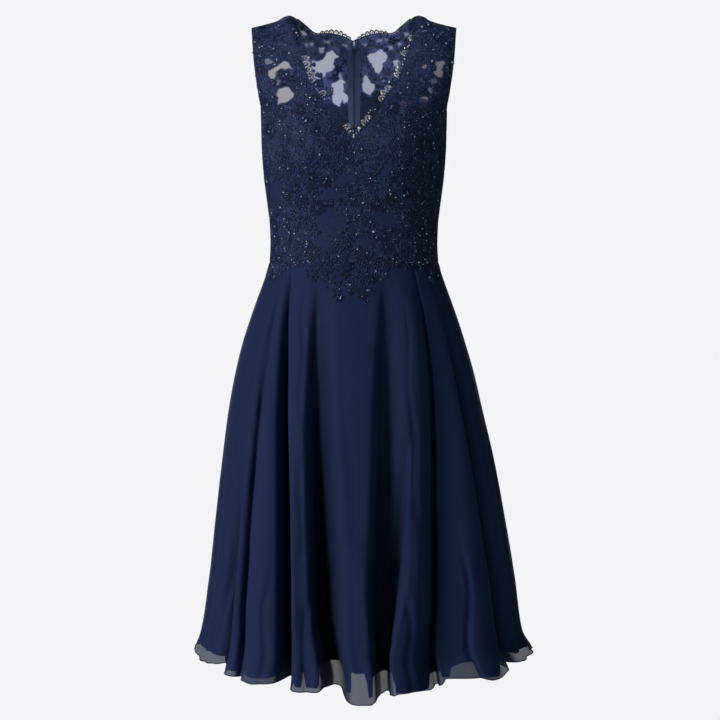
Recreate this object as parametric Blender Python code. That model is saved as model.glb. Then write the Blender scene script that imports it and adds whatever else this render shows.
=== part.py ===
"""Sleeveless knee-length cocktail dress, filled out as worn but empty, as separate cloth pieces.

A lace bodice with a V neck and a sheer yoke, its lining, scalloped neck edgings, lace over the waist
seam, a flared chiffon skirt with soft folds, a shorter skirt lining, and a concealed zip at the back.

Metres, +Z up. The front faces -Y and the wearer's left side is +X. The origin lies midway between the
two shoulder ridges, on the line that the shoulders hang from.

Every cloth piece is a wall on one of two surfaces. A place on a surface is given by its azimuth in
degrees (0 at the centre front, 90 at the +X side seam, 180 at the centre back) and by its run, the
length of cloth down from the shoulder ridge on the bodice, or down from the waist seam on the skirt.
"""
import math
import random
from collections import namedtuple

import bmesh
import bpy
import numpy as np
from mathutils import Matrix, Vector
from mathutils.geometry import delaunay_2d_cdt

# ---------------------------------------------------------------- driving sizes (metres, degrees)

LACE = 0.0012             # wall of the lace bodice
LINING = 0.0010           # wall of both linings
CHIFFON = 0.0010          # wall of the skirt
TRIM = 0.0012             # wall of the neck edgings and the waist lace
LACE_OVER = 0.0010        # clear space between the skirt and the waist lace
TAPE = 0.0008             # wall of the zip's tapes
SEAM = 0.0003             # gap between two pieces at a seam
RELIEF = 0.0008           # how far a lace flower stands out of its ground
RIDGE_GAP = 0.0005        # run from the shoulder ridge to each piece's edge
SIDE_GAP = 0.10           # degrees between a bodice side seam and each of its pieces' edges
CENTRE_GAP = 0.08         # degrees between the centre back and each back's edge
SKIRT_GAP = 0.08          # degrees between a skirt seam and each of its panels' edges

WAIST_SEAM = -0.3740      # level of the seam between bodice and skirt
LINING_TOP_FRONT = -0.142  # level where the opaque lining starts, front and back
LINING_TOP_BACK = -0.116
LINING_HEM = -0.952       # level of the skirt lining's hem
LINING_INSIDE = 0.0020    # clear space between the lace and the bodice lining
UNDERARM = -0.1465        # level of the lowest point of the armhole
LINING_UNDER_ARM = 0.004  # run from the armhole's lowest point down to the lining's edge
LINING_DROP_BACK = 0.027  # how much further down the back lining's top runs at the side
LINING_CORNER = 0.041     # half width at which the front lining's top meets the V
LINING_BESIDE_ZIP = 0.0130  # from the centre back to the back lining's edge

# Sections of the bodice. Front and back are the depths from the shoulder ridge's plane, and
# squareness is the exponent of the section: 2 is an ellipse, and 4 has flat faces and round corners.
Bodice = namedtuple("Bodice", "run level half_width front back squareness")
BODICE_SECTIONS = (
    Bodice(0.000, 0.0000, 0.1680, 0.0000, 0.0000, 4.0),
    Bodice(0.006, -0.0005, 0.1678, 0.0060, 0.0060, 4.0),
    Bodice(0.014, -0.0030, 0.1672, 0.0135, 0.0137, 4.0),
    Bodice(0.030, -0.0125, 0.1655, 0.0262, 0.0280, 4.0),
    Bodice(0.060, -0.0375, 0.1612, 0.0425, 0.0480, 4.0),
    Bodice(0.090, -0.0650, 0.1570, 0.0555, 0.0640, 3.9),
    Bodice(0.120, -0.0925, 0.1525, 0.0690, 0.0770, 3.7),
    Bodice(0.150, -0.1205, 0.1470, 0.0820, 0.0870, 3.4),
    Bodice(0.174, -0.1440, 0.1407, 0.0910, 0.0930, 3.0),
    Bodice(0.206, -0.1750, 0.1400, 0.1010, 0.1000, 2.7),
    Bodice(0.231, -0.2000, 0.1394, 0.1050, 0.1030, 2.5),
    Bodice(0.274, -0.2430, 0.1364, 0.1020, 0.1030, 2.35),
    Bodice(0.316, -0.2850, 0.1312, 0.0960, 0.0990, 2.3),
    Bodice(0.346, -0.3150, 0.1277, 0.0925, 0.0965, 2.25),
    Bodice(0.376, -0.3450, 0.1266, 0.0910, 0.0960, 2.2),
    Bodice(0.405, -0.3740, 0.1280, 0.0930, 0.0985, 2.2),
)

# The shoulder seam falls from the neck to the shoulder point. The fall dies out down the bodice.
Shoulder = namedtuple("Shoulder", "half_width fall")
SHOULDER_SLOPE = (
    Shoulder(0.000, 0.0000), Shoulder(0.094, 0.0000), Shoulder(0.105, 0.0025), Shoulder(0.115, 0.0085),
    Shoulder(0.134, 0.0142), Shoulder(0.155, 0.0190), Shoulder(0.170, 0.0215),
)
SLOPE_FADES = 0.150       # run over which the shoulder's fall dies out

# Bust cups: soft swellings of the front.
CUP_APART = 0.066         # from the centre to the apex
CUP_LEVEL = -0.207
CUP_RISE = 0.015
CUP_WIDE = 0.044
CUP_ABOVE = 0.060
CUP_BELOW = 0.042

# Cut edges of the bodice, as half widths at levels, one side of the centre line.
Edge = namedtuple("Edge", "level half_width")
V_NECK = (
    Edge(0.0000, 0.0995), Edge(-0.0200, 0.0945), Edge(-0.0444, 0.0885), Edge(-0.0666, 0.0800),
    Edge(-0.0857, 0.0738), Edge(-0.1046, 0.0670), Edge(-0.1250, 0.0515), Edge(-0.1465, 0.0385),
    Edge(-0.1770, 0.0160), Edge(-0.1950, 0.0000),
)
ARMHOLE = (
    Edge(-0.0190, 0.1549), Edge(-0.0343, 0.1534), Edge(-0.0649, 0.1510), Edge(-0.0954, 0.1473),
    Edge(-0.1259, 0.1427), Edge(-0.1385, 0.1406),
)
BACK_NECK = (
    Edge(0.0000, 0.0995), Edge(-0.0090, 0.0900), Edge(-0.0175, 0.0810), Edge(-0.0235, 0.0700),
    Edge(-0.0255, 0.0600), Edge(-0.0250, 0.0510), Edge(-0.0245, 0.0390), Edge(-0.0265, 0.0260),
    Edge(-0.0305, 0.0124), Edge(-0.0350, 0.0040), Edge(-0.0362, 0.0016),
)
SLOT_HALF = 0.0016        # half width of the slot in which the zip slider sits
SLOT_FOOT = -0.0530       # level of the slot's foot

# Sections of the skirt's outer envelope, which the folds then sink into.
Skirt = namedtuple("Skirt", "level half_width front back shift squareness")
SKIRT_SECTIONS = (
    Skirt(-0.3743, 0.1280, 0.0932, 0.0987, 0.0000, 2.20),
    Skirt(-0.4000, 0.1366, 0.1050, 0.1100, 0.0000, 2.15),
    Skirt(-0.4460, 0.1534, 0.1250, 0.1290, 0.0000, 2.10),
    Skirt(-0.4920, 0.1686, 0.1430, 0.1460, 0.0000, 2.05),
    Skirt(-0.5380, 0.1812, 0.1570, 0.1590, 0.0010, 2.00),
    Skirt(-0.5840, 0.1912, 0.1690, 0.1700, 0.0020, 2.00),
    Skirt(-0.6750, 0.2075, 0.1880, 0.1880, 0.0060, 2.00),
    Skirt(-0.7670, 0.2213, 0.2040, 0.2030, 0.0090, 2.00),
    Skirt(-0.8580, 0.2342, 0.2180, 0.2150, 0.0115, 2.00),
    Skirt(-0.9400, 0.2465, 0.2310, 0.2270, 0.0125, 2.00),
    Skirt(-0.9700, 0.2570, 0.2400, 0.2350, 0.0125, 2.00),
    Skirt(-1.0050, 0.2650, 0.2450, 0.2400, 0.0125, 2.00),
)

# The troughs between the skirt's soft folds: their azimuths near the waist, half way and at the hem,
# the level where each starts, its half width and its depth at the hem.
Trough = namedtuple("Trough", "waist middle hem starts half_angle depth")
TROUGHS = (
    Trough(-82.0, -76.0, -76.0, -0.60, 8.0, 0.012),
    Trough(-60.0, -51.0, -54.0, -0.42, 9.5, 0.030),
    Trough(-50.0, -43.0, -41.0, -0.70, 5.5, 0.010),
    Trough(-44.0, -31.8, -25.5, -0.40, 8.0, 0.048),
    Trough(-22.5, -17.0, -10.8, -0.40, 8.5, 0.054),
    Trough(13.5, 4.8, 7.0, -0.40, 8.5, 0.052),
    Trough(24.0, 17.0, 18.0, -0.66, 4.5, 0.006),
    Trough(40.0, 29.6, 28.0, -0.40, 8.5, 0.048),
    Trough(48.0, 41.0, 41.0, -0.72, 5.5, 0.009),
    Trough(58.0, 49.5, 54.0, -0.40, 9.0, 0.042),
    Trough(82.0, 75.0, 74.0, -0.55, 8.5, 0.016),
    Trough(101.0, 100.0, 99.0, -0.45, 9.5, 0.034),
    Trough(121.0, 122.0, 120.0, -0.40, 9.5, 0.044),
    Trough(142.0, 142.0, 144.0, -0.40, 9.5, 0.048),
    Trough(163.0, 165.0, 167.0, -0.42, 8.5, 0.042),
    Trough(197.0, 195.0, 192.0, -0.42, 9.0, 0.044),
    Trough(216.0, 217.0, 216.0, -0.40, 9.0, 0.046),
    Trough(237.0, 237.0, 238.0, -0.40, 9.5, 0.046),
    Trough(256.0, 257.0, 258.0, -0.45, 9.0, 0.036),
)
TROUGHS_FULL = -0.960     # level where every trough reaches its full depth
FOLDS_MIDDLE = -0.720     # level of the troughs' middle azimuths
FOLDS_HEM = -0.970        # level of their hem azimuths

# The chiffon's hem: it hangs lowest at the centre front.
Hem = namedtuple("Hem", "azimuth level")
HEM = (
    Hem(-180, -0.975), Hem(-140, -0.972), Hem(-110, -0.968), Hem(-88, -0.964), Hem(-66, -0.961),
    Hem(-54, -0.959), Hem(-45, -0.973), Hem(-33, -0.979), Hem(-25, -0.978), Hem(-18, -0.985),
    Hem(-11, -0.978), Hem(-7, -0.992), Hem(-2, -0.998), Hem(3, -0.997), Hem(8, -0.988),
    Hem(13, -0.983), Hem(22, -0.980), Hem(28, -0.975), Hem(36, -0.976), Hem(47, -0.978),
    Hem(55, -0.967), Hem(75, -0.968), Hem(90, -0.968), Hem(110, -0.970), Hem(145, -0.973),
    Hem(180, -0.975),
)
SKIRT_ROWS = (0.0, 0.09, 0.21, 0.36, 0.54, 0.74, 0.93, 1.0)
LINING_ROWS = (0.0, 0.10, 0.30, 0.63, 1.0)
DEEP_COLUMNS = (-1.0, -0.76, -0.5, -0.25, 0.0, 0.25, 0.5, 0.76, 1.0)   # in half angles of a deep trough
SHALLOW_COLUMNS = (-0.8, 0.0, 0.8)
DEEP = 0.020              # depth from which a trough counts as deep
COLUMN_APART = 2.1        # least angle between two columns

# Lower edge of the lace that spills over the waist seam: how far it hangs below the seam.
Spill = namedtuple("Spill", "azimuth reach")
SPILL_FRONT = (
    Spill(-89.7, 0.012), Spill(-80.0, 0.017), Spill(-72.0, 0.028), Spill(-62.0, 0.031), Spill(-53.0, 0.022),
    Spill(-45.0, 0.012), Spill(-35.0, 0.010), Spill(-28.0, 0.028), Spill(-22.0, 0.030), Spill(-17.0, 0.040),
    Spill(-12.0, 0.060), Spill(-7.0, 0.062), Spill(-1.0, 0.047), Spill(3.0, 0.058), Spill(8.0, 0.062),
    Spill(13.0, 0.042), Spill(19.0, 0.026), Spill(26.0, 0.013), Spill(40.0, 0.010), Spill(48.0, 0.017),
    Spill(56.0, 0.031), Spill(64.0, 0.033), Spill(73.0, 0.020), Spill(82.0, 0.012), Spill(89.7, 0.012),
)
SPILL_BACK = (
    Spill(90.3, 0.012), Spill(100.0, 0.018), Spill(112.0, 0.030), Spill(122.0, 0.018), Spill(134.0, 0.011),
    Spill(146.0, 0.030), Spill(156.0, 0.040), Spill(166.0, 0.028), Spill(174.0, 0.014), Spill(179.6, 0.012),
)

SPILL_GROUND = 0.016      # reach from which the spill has raised points inside its rim

# Neck edging: a narrow band with loops, each round an eyelet.
FRONT_LOOPS = 26          # steps along each side of the V, one loop each
BACK_LOOPS = 14
LOOP_REACH = 0.0092       # from the cut edge to the loop's tip
LOOP_NOTCH = 0.0036       # from the cut edge to the notch between two loops
EYELET = 0.0025           # radius of the hole in a loop
EYELET_SIDES = 5
EYELET_CENTRE = 0.0054    # from the cut edge to the hole's centre

# Lace flowers raised out of the bodice.
FLOWER_RADIUS = 0.0120
FLOWER_PETALS = 5
FLOWER_APART = 0.0300     # between the centres of two flowers
FLOWER_CLEAR = 0.0155     # from a flower's centre to the piece's rim
FLOWERS_FRONT = 22
FLOWERS_BACK = 9          # on each of the two backs

# Loose points that carry a panel's curve: their spacing and how far they keep from the rim.
SHOULDER_RUNS = (0.006, 0.012, 0.019)   # closer rows over the shoulder's bend
SHOULDER_CLEAR = 0.0025
LACE_STEP = 0.0210
LACE_CLEAR = 0.0070
LINING_STEP = 0.0280
LINING_CLEAR = 0.0090

# Zip.
TAPE_WIDE = 0.0105        # width of each tape
TAPE_INSIDE = 0.0010      # clear space between the cloth and a tape
ZIP_TOP = -0.0469
TAPE_DIPS = -0.350        # level from which the tapes lead in behind the skirt's lining
ZIP_FOOT = -0.435
SLIDER_LEVEL = -0.0475    # level of the slider's pin
PIN_OUT = 0.0052          # from the middle of the cloth out to the pin
PLATE_THICK = 0.0010
PIN_RADIUS = 0.0005
EYE_HOLE = 0.00085
EYE_RADIUS = 0.0016
EYE_WIDTH = 0.0026
EAR_THICK = 0.0009
TAB_LENGTH = 0.0210
TAB_WIDE = 0.0052
TAB_THICK = 0.0010
PLATE_SIZE = (0.0066, 0.0090)   # across and along
PLATE_DOWN = 0.0005       # how far the plates' middle lies below the pin
NECK_SIZE = (0.0018, 0.0020)
NECK_UP = 0.0030          # how far the neck's middle lies above the pin
EAR_TALL = 0.0022
SHANK_DOWN = 0.0026       # from the pin to the middle of the shank between eye and tab
SHANK_TALL = 0.0030

NAVY_LACE = (0.010, 0.016, 0.055)
NAVY_LINING = (0.008, 0.014, 0.045)
NAVY_CHIFFON = (0.012, 0.022, 0.070)
NAVY_TRIM = (0.016, 0.020, 0.050)
NAVY_METAL = (0.030, 0.032, 0.060)

DEGREE_WIDE = 0.0022      # width of one degree of azimuth where a piece is laid out flat


# ---------------------------------------------------------------- small maths

def smooth_curve(xs, ys):
    """A curve through the points that never overshoots between two of them (monotone cubic)."""
    xs = np.array(xs, float)
    ys = np.array(ys, float)
    step = np.diff(xs)
    rise = np.diff(ys) / step
    slope = np.zeros(len(xs))
    slope[0], slope[-1] = rise[0], rise[-1]
    for i in range(1, len(xs) - 1):
        if rise[i - 1] * rise[i] > 0:
            w1 = 2 * step[i] + step[i - 1]
            w2 = step[i] + 2 * step[i - 1]
            slope[i] = (w1 + w2) / (w1 / rise[i - 1] + w2 / rise[i])

    def value(x):
        i = int(min(max(np.searchsorted(xs, x) - 1, 0), len(step) - 1))
        t = min(max((x - xs[i]) / step[i], 0.0), 1.0)
        a = (1 + 2 * t) * (1 - t) ** 2
        b = t * (1 - t) ** 2
        c = t * t * (3 - 2 * t)
        d = t * t * (t - 1)
        return float(a * ys[i] + b * step[i] * slope[i] + c * ys[i + 1] + d * step[i] * slope[i + 1])

    return value


def columns(rows, key):
    """One smooth curve for each column of a table, over the column named key."""
    rows = sorted(rows, key=lambda row: getattr(row, key))
    along = [getattr(row, key) for row in rows]
    names = [name for name in rows[0]._fields if name != key]
    return {name: smooth_curve(along, [getattr(row, name) for row in rows]) for name in names}


def ease(t):
    """0 below 0, 1 above 1, smooth between."""
    t = min(max(t, 0.0), 1.0)
    return t * t * (3 - 2 * t)


def lerp(a, b, t):
    return a + (b - a) * t


BODICE = columns(BODICE_SECTIONS, "run")
SLOPE = columns(SHOULDER_SLOPE, "half_width")["fall"]
SKIRT = columns([row._replace(level=-row.level) for row in SKIRT_SECTIONS], "level")
HEM_LEVEL = columns(HEM, "azimuth")["level"]
BODICE_LENGTH = BODICE_SECTIONS[-1].run


# ---------------------------------------------------------------- the two surfaces

def ring(azimuth, squareness):
    """A point of a unit section: x towards the side, y towards the back."""
    s = math.sin(math.radians(azimuth))
    c = math.cos(math.radians(azimuth))
    size = (abs(s) ** squareness + abs(c) ** squareness) ** (-1 / squareness)
    return s * size, -c * size


def cup_rise(x, level):
    """How far the bust swells the front."""
    across = (abs(x) - CUP_APART) / CUP_WIDE
    down = (level - CUP_LEVEL) / (CUP_ABOVE if level > CUP_LEVEL else CUP_BELOW)
    return CUP_RISE * math.exp(-across ** 2 - down ** 2)


def shoulder_fall(x, run):
    return SLOPE(abs(x)) * (1 - ease(run / SLOPE_FADES))


def bodice_point(azimuth, run):
    rx, ry = ring(azimuth, BODICE["squareness"](run))
    x = BODICE["half_width"](run) * rx
    level = BODICE["level"](run)
    if ry < 0:
        y = ry * (BODICE["front"](run) + cup_rise(x, level))
    else:
        y = ry * BODICE["back"](run)
    return Vector((x, y, level - shoulder_fall(x, run)))


def trough_azimuth(trough, level):
    """A trough wanders sideways on its way down."""
    if level > FOLDS_MIDDLE:
        share = (WAIST_SEAM - level) / (WAIST_SEAM - FOLDS_MIDDLE)
        return lerp(trough.waist, trough.middle, share)
    share = (FOLDS_MIDDLE - level) / (FOLDS_MIDDLE - FOLDS_HEM)
    return lerp(trough.middle, trough.hem, min(share, 1.0))


def trough_depth(azimuth, level):
    """How far the folds sink the skirt at this place."""
    depth = 0.0
    for trough in TROUGHS:
        grown = (trough.starts - level) / (trough.starts - TROUGHS_FULL)
        if grown <= 0:
            continue
        apart = (azimuth - trough_azimuth(trough, level) + 180) % 360 - 180
        t = abs(apart) / trough.half_angle
        if t < 1:
            depth += trough.depth * ease(grown) ** 0.8 * (0.5 + 0.5 * math.cos(math.pi * t))
    return depth


def fold_azimuth(hem_azimuth, level):
    """The azimuth at this level of the line that follows the folds down to a place on the hem."""
    hems = [trough.hem + turn for turn in (-360, 0, 360) for trough in TROUGHS]
    drifts = [trough_azimuth(trough, level) - trough.hem for trough in TROUGHS] * 3
    return hem_azimuth + float(np.interp(hem_azimuth, hems, drifts))


def along_folds(surface):
    """The same surface, with places named by where their fold line meets the hem."""
    def point(hem_azimuth, run):
        return surface(fold_azimuth(hem_azimuth, WAIST_SEAM - SEAM - run), run)
    return point


def skirt_point(azimuth, run):
    level = WAIST_SEAM - SEAM - run
    rx, ry = ring(azimuth, SKIRT["squareness"](-level))
    depth = SKIRT["front"](-level) if ry < 0 else SKIRT["back"](-level)
    sink = trough_depth(azimuth, level)
    x = SKIRT["half_width"](-level) * rx + SKIRT["shift"](-level)
    x -= sink * math.sin(math.radians(azimuth))
    y = depth * ry + sink * math.cos(math.radians(azimuth))
    return Vector((x, y, level))


def lining_gap(run):
    """The skirt lining hangs inside the chiffon, further in towards the hem."""
    return lerp(0.0024, 0.0110, ease(run / 0.30))


def skirt_lining_point(azimuth, run):
    point = skirt_point(azimuth, run)
    inwards = Vector((-math.sin(math.radians(azimuth)), math.cos(math.radians(azimuth)), 0))
    return point + inwards * lining_gap(run)


def shifted(surface, azimuth, run, offset):
    """The surface's point moved out along its normal."""
    turn, drop = 0.2, 0.0005
    across = surface(azimuth + turn, run) - surface(azimuth - turn, run)
    down = surface(azimuth, run + drop) - surface(azimuth, max(run - drop, 0.0))
    return surface(azimuth, run) + down.cross(across).normalized() * offset


# ---------------------------------------------------------------- places on the bodice

def run_at(x, level):
    """The run at which the bodice passes this level, at this distance from the centre."""
    low, high = 0.0, BODICE_LENGTH
    for _ in range(40):
        middle = (low + high) / 2
        if BODICE["level"](middle) - shoulder_fall(x, middle) > level:
            low = middle
        else:
            high = middle
    return (low + high) / 2


def azimuth_at(x, run, back=False):
    """The azimuth at which the bodice's section reaches this distance from the centre."""
    n = BODICE["squareness"](run)
    share = min(abs(x) / BODICE["half_width"](run), 0.99999) ** n
    azimuth = math.degrees(math.atan((share / (1 - share)) ** (1 / n)))
    if back:
        azimuth = 180 - azimuth
    return math.copysign(azimuth, x) if x else azimuth


def spread(rows, count):
    """Points evenly spaced along the smooth line through a table of (level, half_width)."""
    length = [0.0]
    for a, b in zip(rows, rows[1:]):
        length.append(length[-1] + math.hypot(b.level - a.level, b.half_width - a.half_width))
    level = smooth_curve(length, [row.level for row in rows])
    half = smooth_curve(length, [row.half_width for row in rows])
    return [(half(length[-1] * i / count), level(length[-1] * i / count)) for i in range(count + 1)]


def on_bodice(x, level, back=False):
    run = max(run_at(x, level), RIDGE_GAP)
    return azimuth_at(x, run, back), run


# ---------------------------------------------------------------- building walls

def new_object(name, mesh, colour, roughness=0.7, metallic=0.0):
    material = bpy.data.materials.new(name)
    material.use_nodes = True
    shader = material.node_tree.nodes["Principled BSDF"]
    shader.inputs["Base Color"].default_value = (*colour, 1)
    shader.inputs["Roughness"].default_value = roughness
    shader.inputs["Metallic"].default_value = metallic
    material.diffuse_color = (*colour, 1)
    mesh.materials.append(material)
    piece = bpy.data.objects.new(name, mesh)
    bpy.context.scene.collection.objects.link(piece)
    return piece


def closed_mesh(name, points, faces):
    """A mesh of the points and faces, with every face turned outwards."""
    mesh = bpy.data.meshes.new(name)
    shape = bmesh.new()
    corners = [shape.verts.new(point) for point in points]
    for face in faces:
        shape.faces.new([corners[i] for i in face])
    bmesh.ops.triangulate(shape, faces=shape.faces[:])
    bmesh.ops.recalc_face_normals(shape, faces=shape.faces[:])
    shape.to_mesh(mesh)
    shape.free()
    return mesh


def inside(point, loop):
    """Whether a flat point lies inside a closed loop."""
    x, y = point
    result = False
    for (x0, y0), (x1, y1) in zip(loop, loop[1:] + loop[:1]):
        if (y0 > y) != (y1 > y) and x < (x1 - x0) * (y - y0) / (y1 - y0) + x0:
            result = not result
    return result


def distance_to(point, loop):
    """Shortest distance from a flat point to a closed loop."""
    p = np.array(point)
    a = np.array(loop)
    b = np.roll(a, -1, axis=0)
    along = b - a
    t = np.clip(((p - a) * along).sum(1) / np.maximum((along ** 2).sum(1), 1e-18), 0, 1)
    return float(np.sqrt((((a + along * t[:, None]) - p) ** 2).sum(1)).min())


def triangles(loops, points):
    """Triangles over the first loop, clear of the others (its holes), through the loose points."""
    flat = [point for loop in loops for point in loop] + list(points)
    edges = []
    start = 0
    for loop in loops:
        edges += [(start + i, start + (i + 1) % len(loop)) for i in range(len(loop))]
        start += len(loop)
    verts, _, faces, origins, _, _ = delaunay_2d_cdt([Vector(p) for p in flat], edges, [], 1, 1e-9)
    first = [origin[0] for origin in origins]
    kept = []
    for face in faces:
        middle = sum((verts[i] for i in face), Vector((0, 0))) / len(face)
        if inside(middle, loops[0]) and not any(inside(middle, loop) for loop in loops[1:]):
            kept.append([first[i] for i in face])
    return flat, kept


def wall(name, loops, place, thickness, colour, outer=(), inner=()):
    """A cloth wall over flat loops. place(flat point, offset) gives a point in space.

    outer and inner are the loose points of its two faces, as (flat point, extra height).
    """
    rim = sum(len(loop) for loop in loops)
    flat_out, faces_out = triangles(loops, [p for p, _ in outer])
    flat_in, faces_in = triangles(loops, [p for p, _ in inner])
    raised = [0.0] * rim + [height for _, height in outer]
    points = [place(p, thickness / 2 + h) for p, h in zip(flat_out, raised)]
    points += [place(p, -thickness / 2) for p in flat_in]
    offset = len(flat_out)
    faces = faces_out + [[offset + i for i in reversed(face)] for face in faces_in]
    start = 0
    for loop in loops:
        for i in range(len(loop)):
            a, b = start + i, start + (i + 1) % len(loop)
            faces.append([a, b, offset + b, offset + a])
        start += len(loop)
    return new_object(name, closed_mesh(name, points, faces), colour)


def grid_wall(name, azimuths, rows, length_at, surface, thickness, colour):
    """A cloth wall over a grid: columns at azimuths, rows at shares of each column's length."""
    points = []
    for side in (0.5, -0.5):
        for azimuth in azimuths:
            length = length_at(azimuth)
            points += [shifted(surface, azimuth, share * length, side * thickness) for share in rows]
    across, down = len(azimuths), len(rows)
    sheet = across * down
    faces = []
    for i in range(across - 1):
        for j in range(down - 1):
            a = i * down + j
            faces.append([a, a + down, a + down + 1, a + 1])
            faces.append([sheet + a, sheet + a + 1, sheet + a + down + 1, sheet + a + down])
    rim = [i * down for i in range(across)]
    rim += [(across - 1) * down + j for j in range(1, down)]
    rim += [i * down + down - 1 for i in range(across - 2, -1, -1)]
    rim += [j for j in range(down - 2, 0, -1)]
    for a, b in zip(rim, rim[1:] + rim[:1]):
        faces.append([a, b, sheet + b, sheet + a])
    return new_object(name, closed_mesh(name, points, faces), colour)


# ---------------------------------------------------------------- flat layouts of the bodice pieces

def to_flat(azimuth, run):
    return azimuth * DEGREE_WIDE, run


def bodice_place(inset=0.0):
    """Places a flat point on the bodice, moved in by inset."""
    def place(flat, offset):
        return shifted(bodice_point, flat[0] / DEGREE_WIDE, flat[1], offset - inset)
    return place


def armhole_line(back=False, count=11):
    """From the shoulder point to the side seam, on the +X side."""
    line = [on_bodice(x, level, back) for x, level in spread(ARMHOLE, count)]
    line[0] = (line[0][0], RIDGE_GAP)
    side = 90 + SIDE_GAP if back else 90 - SIDE_GAP
    foot = run_at(BODICE_SECTIONS[8].half_width, UNDERARM)
    halfway = (lerp(line[-1][0], side, 0.5), lerp(line[-1][1], foot, 0.75))
    return line + [halfway, (side, foot)]


def front_outline():
    """Half of the front, +X side, from the V's foot round to the waist at the centre."""
    neck = [on_bodice(x, level) for x, level in spread(V_NECK, FRONT_LOOPS)][::-1]
    neck[0] = (0.0, neck[0][1])
    neck[-1] = (neck[-1][0], RIDGE_GAP)
    arm = armhole_line()
    ridge = [(lerp(neck[-1][0], arm[0][0], t / 4), RIDGE_GAP) for t in range(1, 4)]
    side = [(90 - SIDE_GAP, lerp(arm[-1][1], BODICE_LENGTH, t / 10)) for t in range(1, 11)]
    waist = [((90 - SIDE_GAP) * (1 - t / 12), BODICE_LENGTH) for t in range(1, 12)]
    return neck + ridge + arm + side + waist


def mirrored(half):
    """The whole outline of a piece whose half starts on the centre line."""
    return half + [(-azimuth, run) for azimuth, run in reversed(half[1:])]


def back_outline():
    """The +X back, from the slot at the centre round to the waist at the centre."""
    centre = 180 - CENTRE_GAP
    neck = [on_bodice(x, level, True) for x, level in spread(BACK_NECK, BACK_LOOPS)][::-1]
    neck[-1] = (neck[-1][0], RIDGE_GAP)
    arm = armhole_line(True)
    ridge = [(lerp(neck[-1][0], arm[0][0], t / 4), RIDGE_GAP) for t in range(1, 4)]
    side = [(90 + SIDE_GAP, lerp(arm[-1][1], BODICE_LENGTH, t / 10)) for t in range(1, 11)]
    waist = [(lerp(90 + SIDE_GAP, centre, t / 11), BODICE_LENGTH) for t in range(1, 12)]
    slot_foot = on_bodice(SLOT_HALF, SLOT_FOOT, True)
    top = slot_foot[1] + 0.003
    seam = [(centre, lerp(BODICE_LENGTH, top, t / 13)) for t in range(1, 14)]
    return neck + ridge + arm + side + waist + seam + [slot_foot]


def lining_front_outline():
    """Half of the front lining: level under the yoke, then along the V."""
    run = run_at(LINING_CORNER, LINING_TOP_FRONT)
    neck = [on_bodice(x, level) for x, level in spread(V_NECK, FRONT_LOOPS)][::-1]
    neck = [(azimuth, at) for azimuth, at in neck if at > run]
    neck[0] = (0.0, neck[0][1])
    cross = azimuth_at(LINING_CORNER, run)
    top = [(lerp(cross, 78.0, t / 6), run + LINING_UNDER_ARM * ease((t - 3) / 3)) for t in range(7)]
    foot = BODICE_LENGTH
    side_top = run_at(0.14, UNDERARM) + LINING_UNDER_ARM
    side = [(90 - SIDE_GAP, lerp(side_top, foot, t / 7)) for t in range(8)]
    waist = [((90 - SIDE_GAP) * (1 - t / 10), foot) for t in range(1, 10)]
    return neck + top + side + waist


def lining_back_outline():
    """The +X back lining, from beside the zip's tape round."""
    run = run_at(0.05, LINING_TOP_BACK)
    foot = BODICE_LENGTH

    def beside_tape(at):
        return azimuth_at(LINING_BESIDE_ZIP, at, True)

    drops = [LINING_DROP_BACK * ease((t - 2) / 4) for t in range(7)]
    top = [(lerp(beside_tape(run), 104.0, t / 6), run + drop) for t, drop in enumerate(drops)]
    side_top = run_at(0.14, UNDERARM) + LINING_UNDER_ARM
    side = [(90 + SIDE_GAP, lerp(side_top, foot, t / 7)) for t in range(8)]
    waist = [(lerp(90 + SIDE_GAP, beside_tape(foot), t / 7), foot) for t in range(1, 8)]
    seam = [(beside_tape(lerp(foot, run, t / 8)), lerp(foot, run, t / 8)) for t in range(1, 8)]
    return top + side + waist + seam


def flipped(outline):
    """The -X twin of an outline."""
    return [(-azimuth, run) for azimuth, run in reversed(outline)]


def loose_grid(loop, step, clear):
    """A brick pattern of flat points inside a loop, clear of its rim, denser near the shoulder."""
    xs = [p[0] for p in loop]
    ys = [p[1] for p in loop]
    rows = [run for run in SHOULDER_RUNS if run > min(ys)]
    run = max(min(ys), SHOULDER_RUNS[-1]) + step * 0.8
    while run < max(ys):
        rows.append(run)
        run += step * 0.87
    points = []
    for number, run in enumerate(rows):
        x = min(xs) + (step / 2 if number % 2 else 0)
        while x < max(xs):
            near = clear if run > SHOULDER_RUNS[-1] else SHOULDER_CLEAR
            if inside((x, run), loop) and distance_to((x, run), loop) > near:
                points.append((x, run))
            x += step
    return points


def scatter_flowers(loop, count, seed):
    """Centres for flowers inside a loop, evenly apart, the same each time."""
    chance = random.Random(seed)
    xs = [p[0] for p in loop]
    ys = [p[1] for p in loop]
    centres = []
    tries = 0
    while len(centres) < count and tries < 6000:
        tries += 1
        point = (chance.uniform(min(xs), max(xs)), chance.uniform(min(ys), max(ys)))
        turn = chance.uniform(0, 360)
        if any(math.dist(point, centre) < FLOWER_APART for centre, _ in centres):
            continue
        if inside(point, loop) and distance_to(point, loop) > FLOWER_CLEAR:
            centres.append((point, turn))
    return centres


def flower(centre, turn):
    """Points of a raised flower: rim on the ground, petals proud, a dip at the heart."""
    points = [(centre, 0.4 * RELIEF)]
    petal = ((1.0, 0.0), (0.66, RELIEF))
    notch = ((0.62, 0.0),)
    for k in range(2 * FLOWER_PETALS):
        angle = math.radians(turn + 180 * k / FLOWER_PETALS)
        for share, height in notch if k % 2 else petal:
            x = centre[0] + FLOWER_RADIUS * share * math.cos(angle)
            y = centre[1] + FLOWER_RADIUS * share * math.sin(angle)
            points.append(((x, y), height))
    return points


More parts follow.
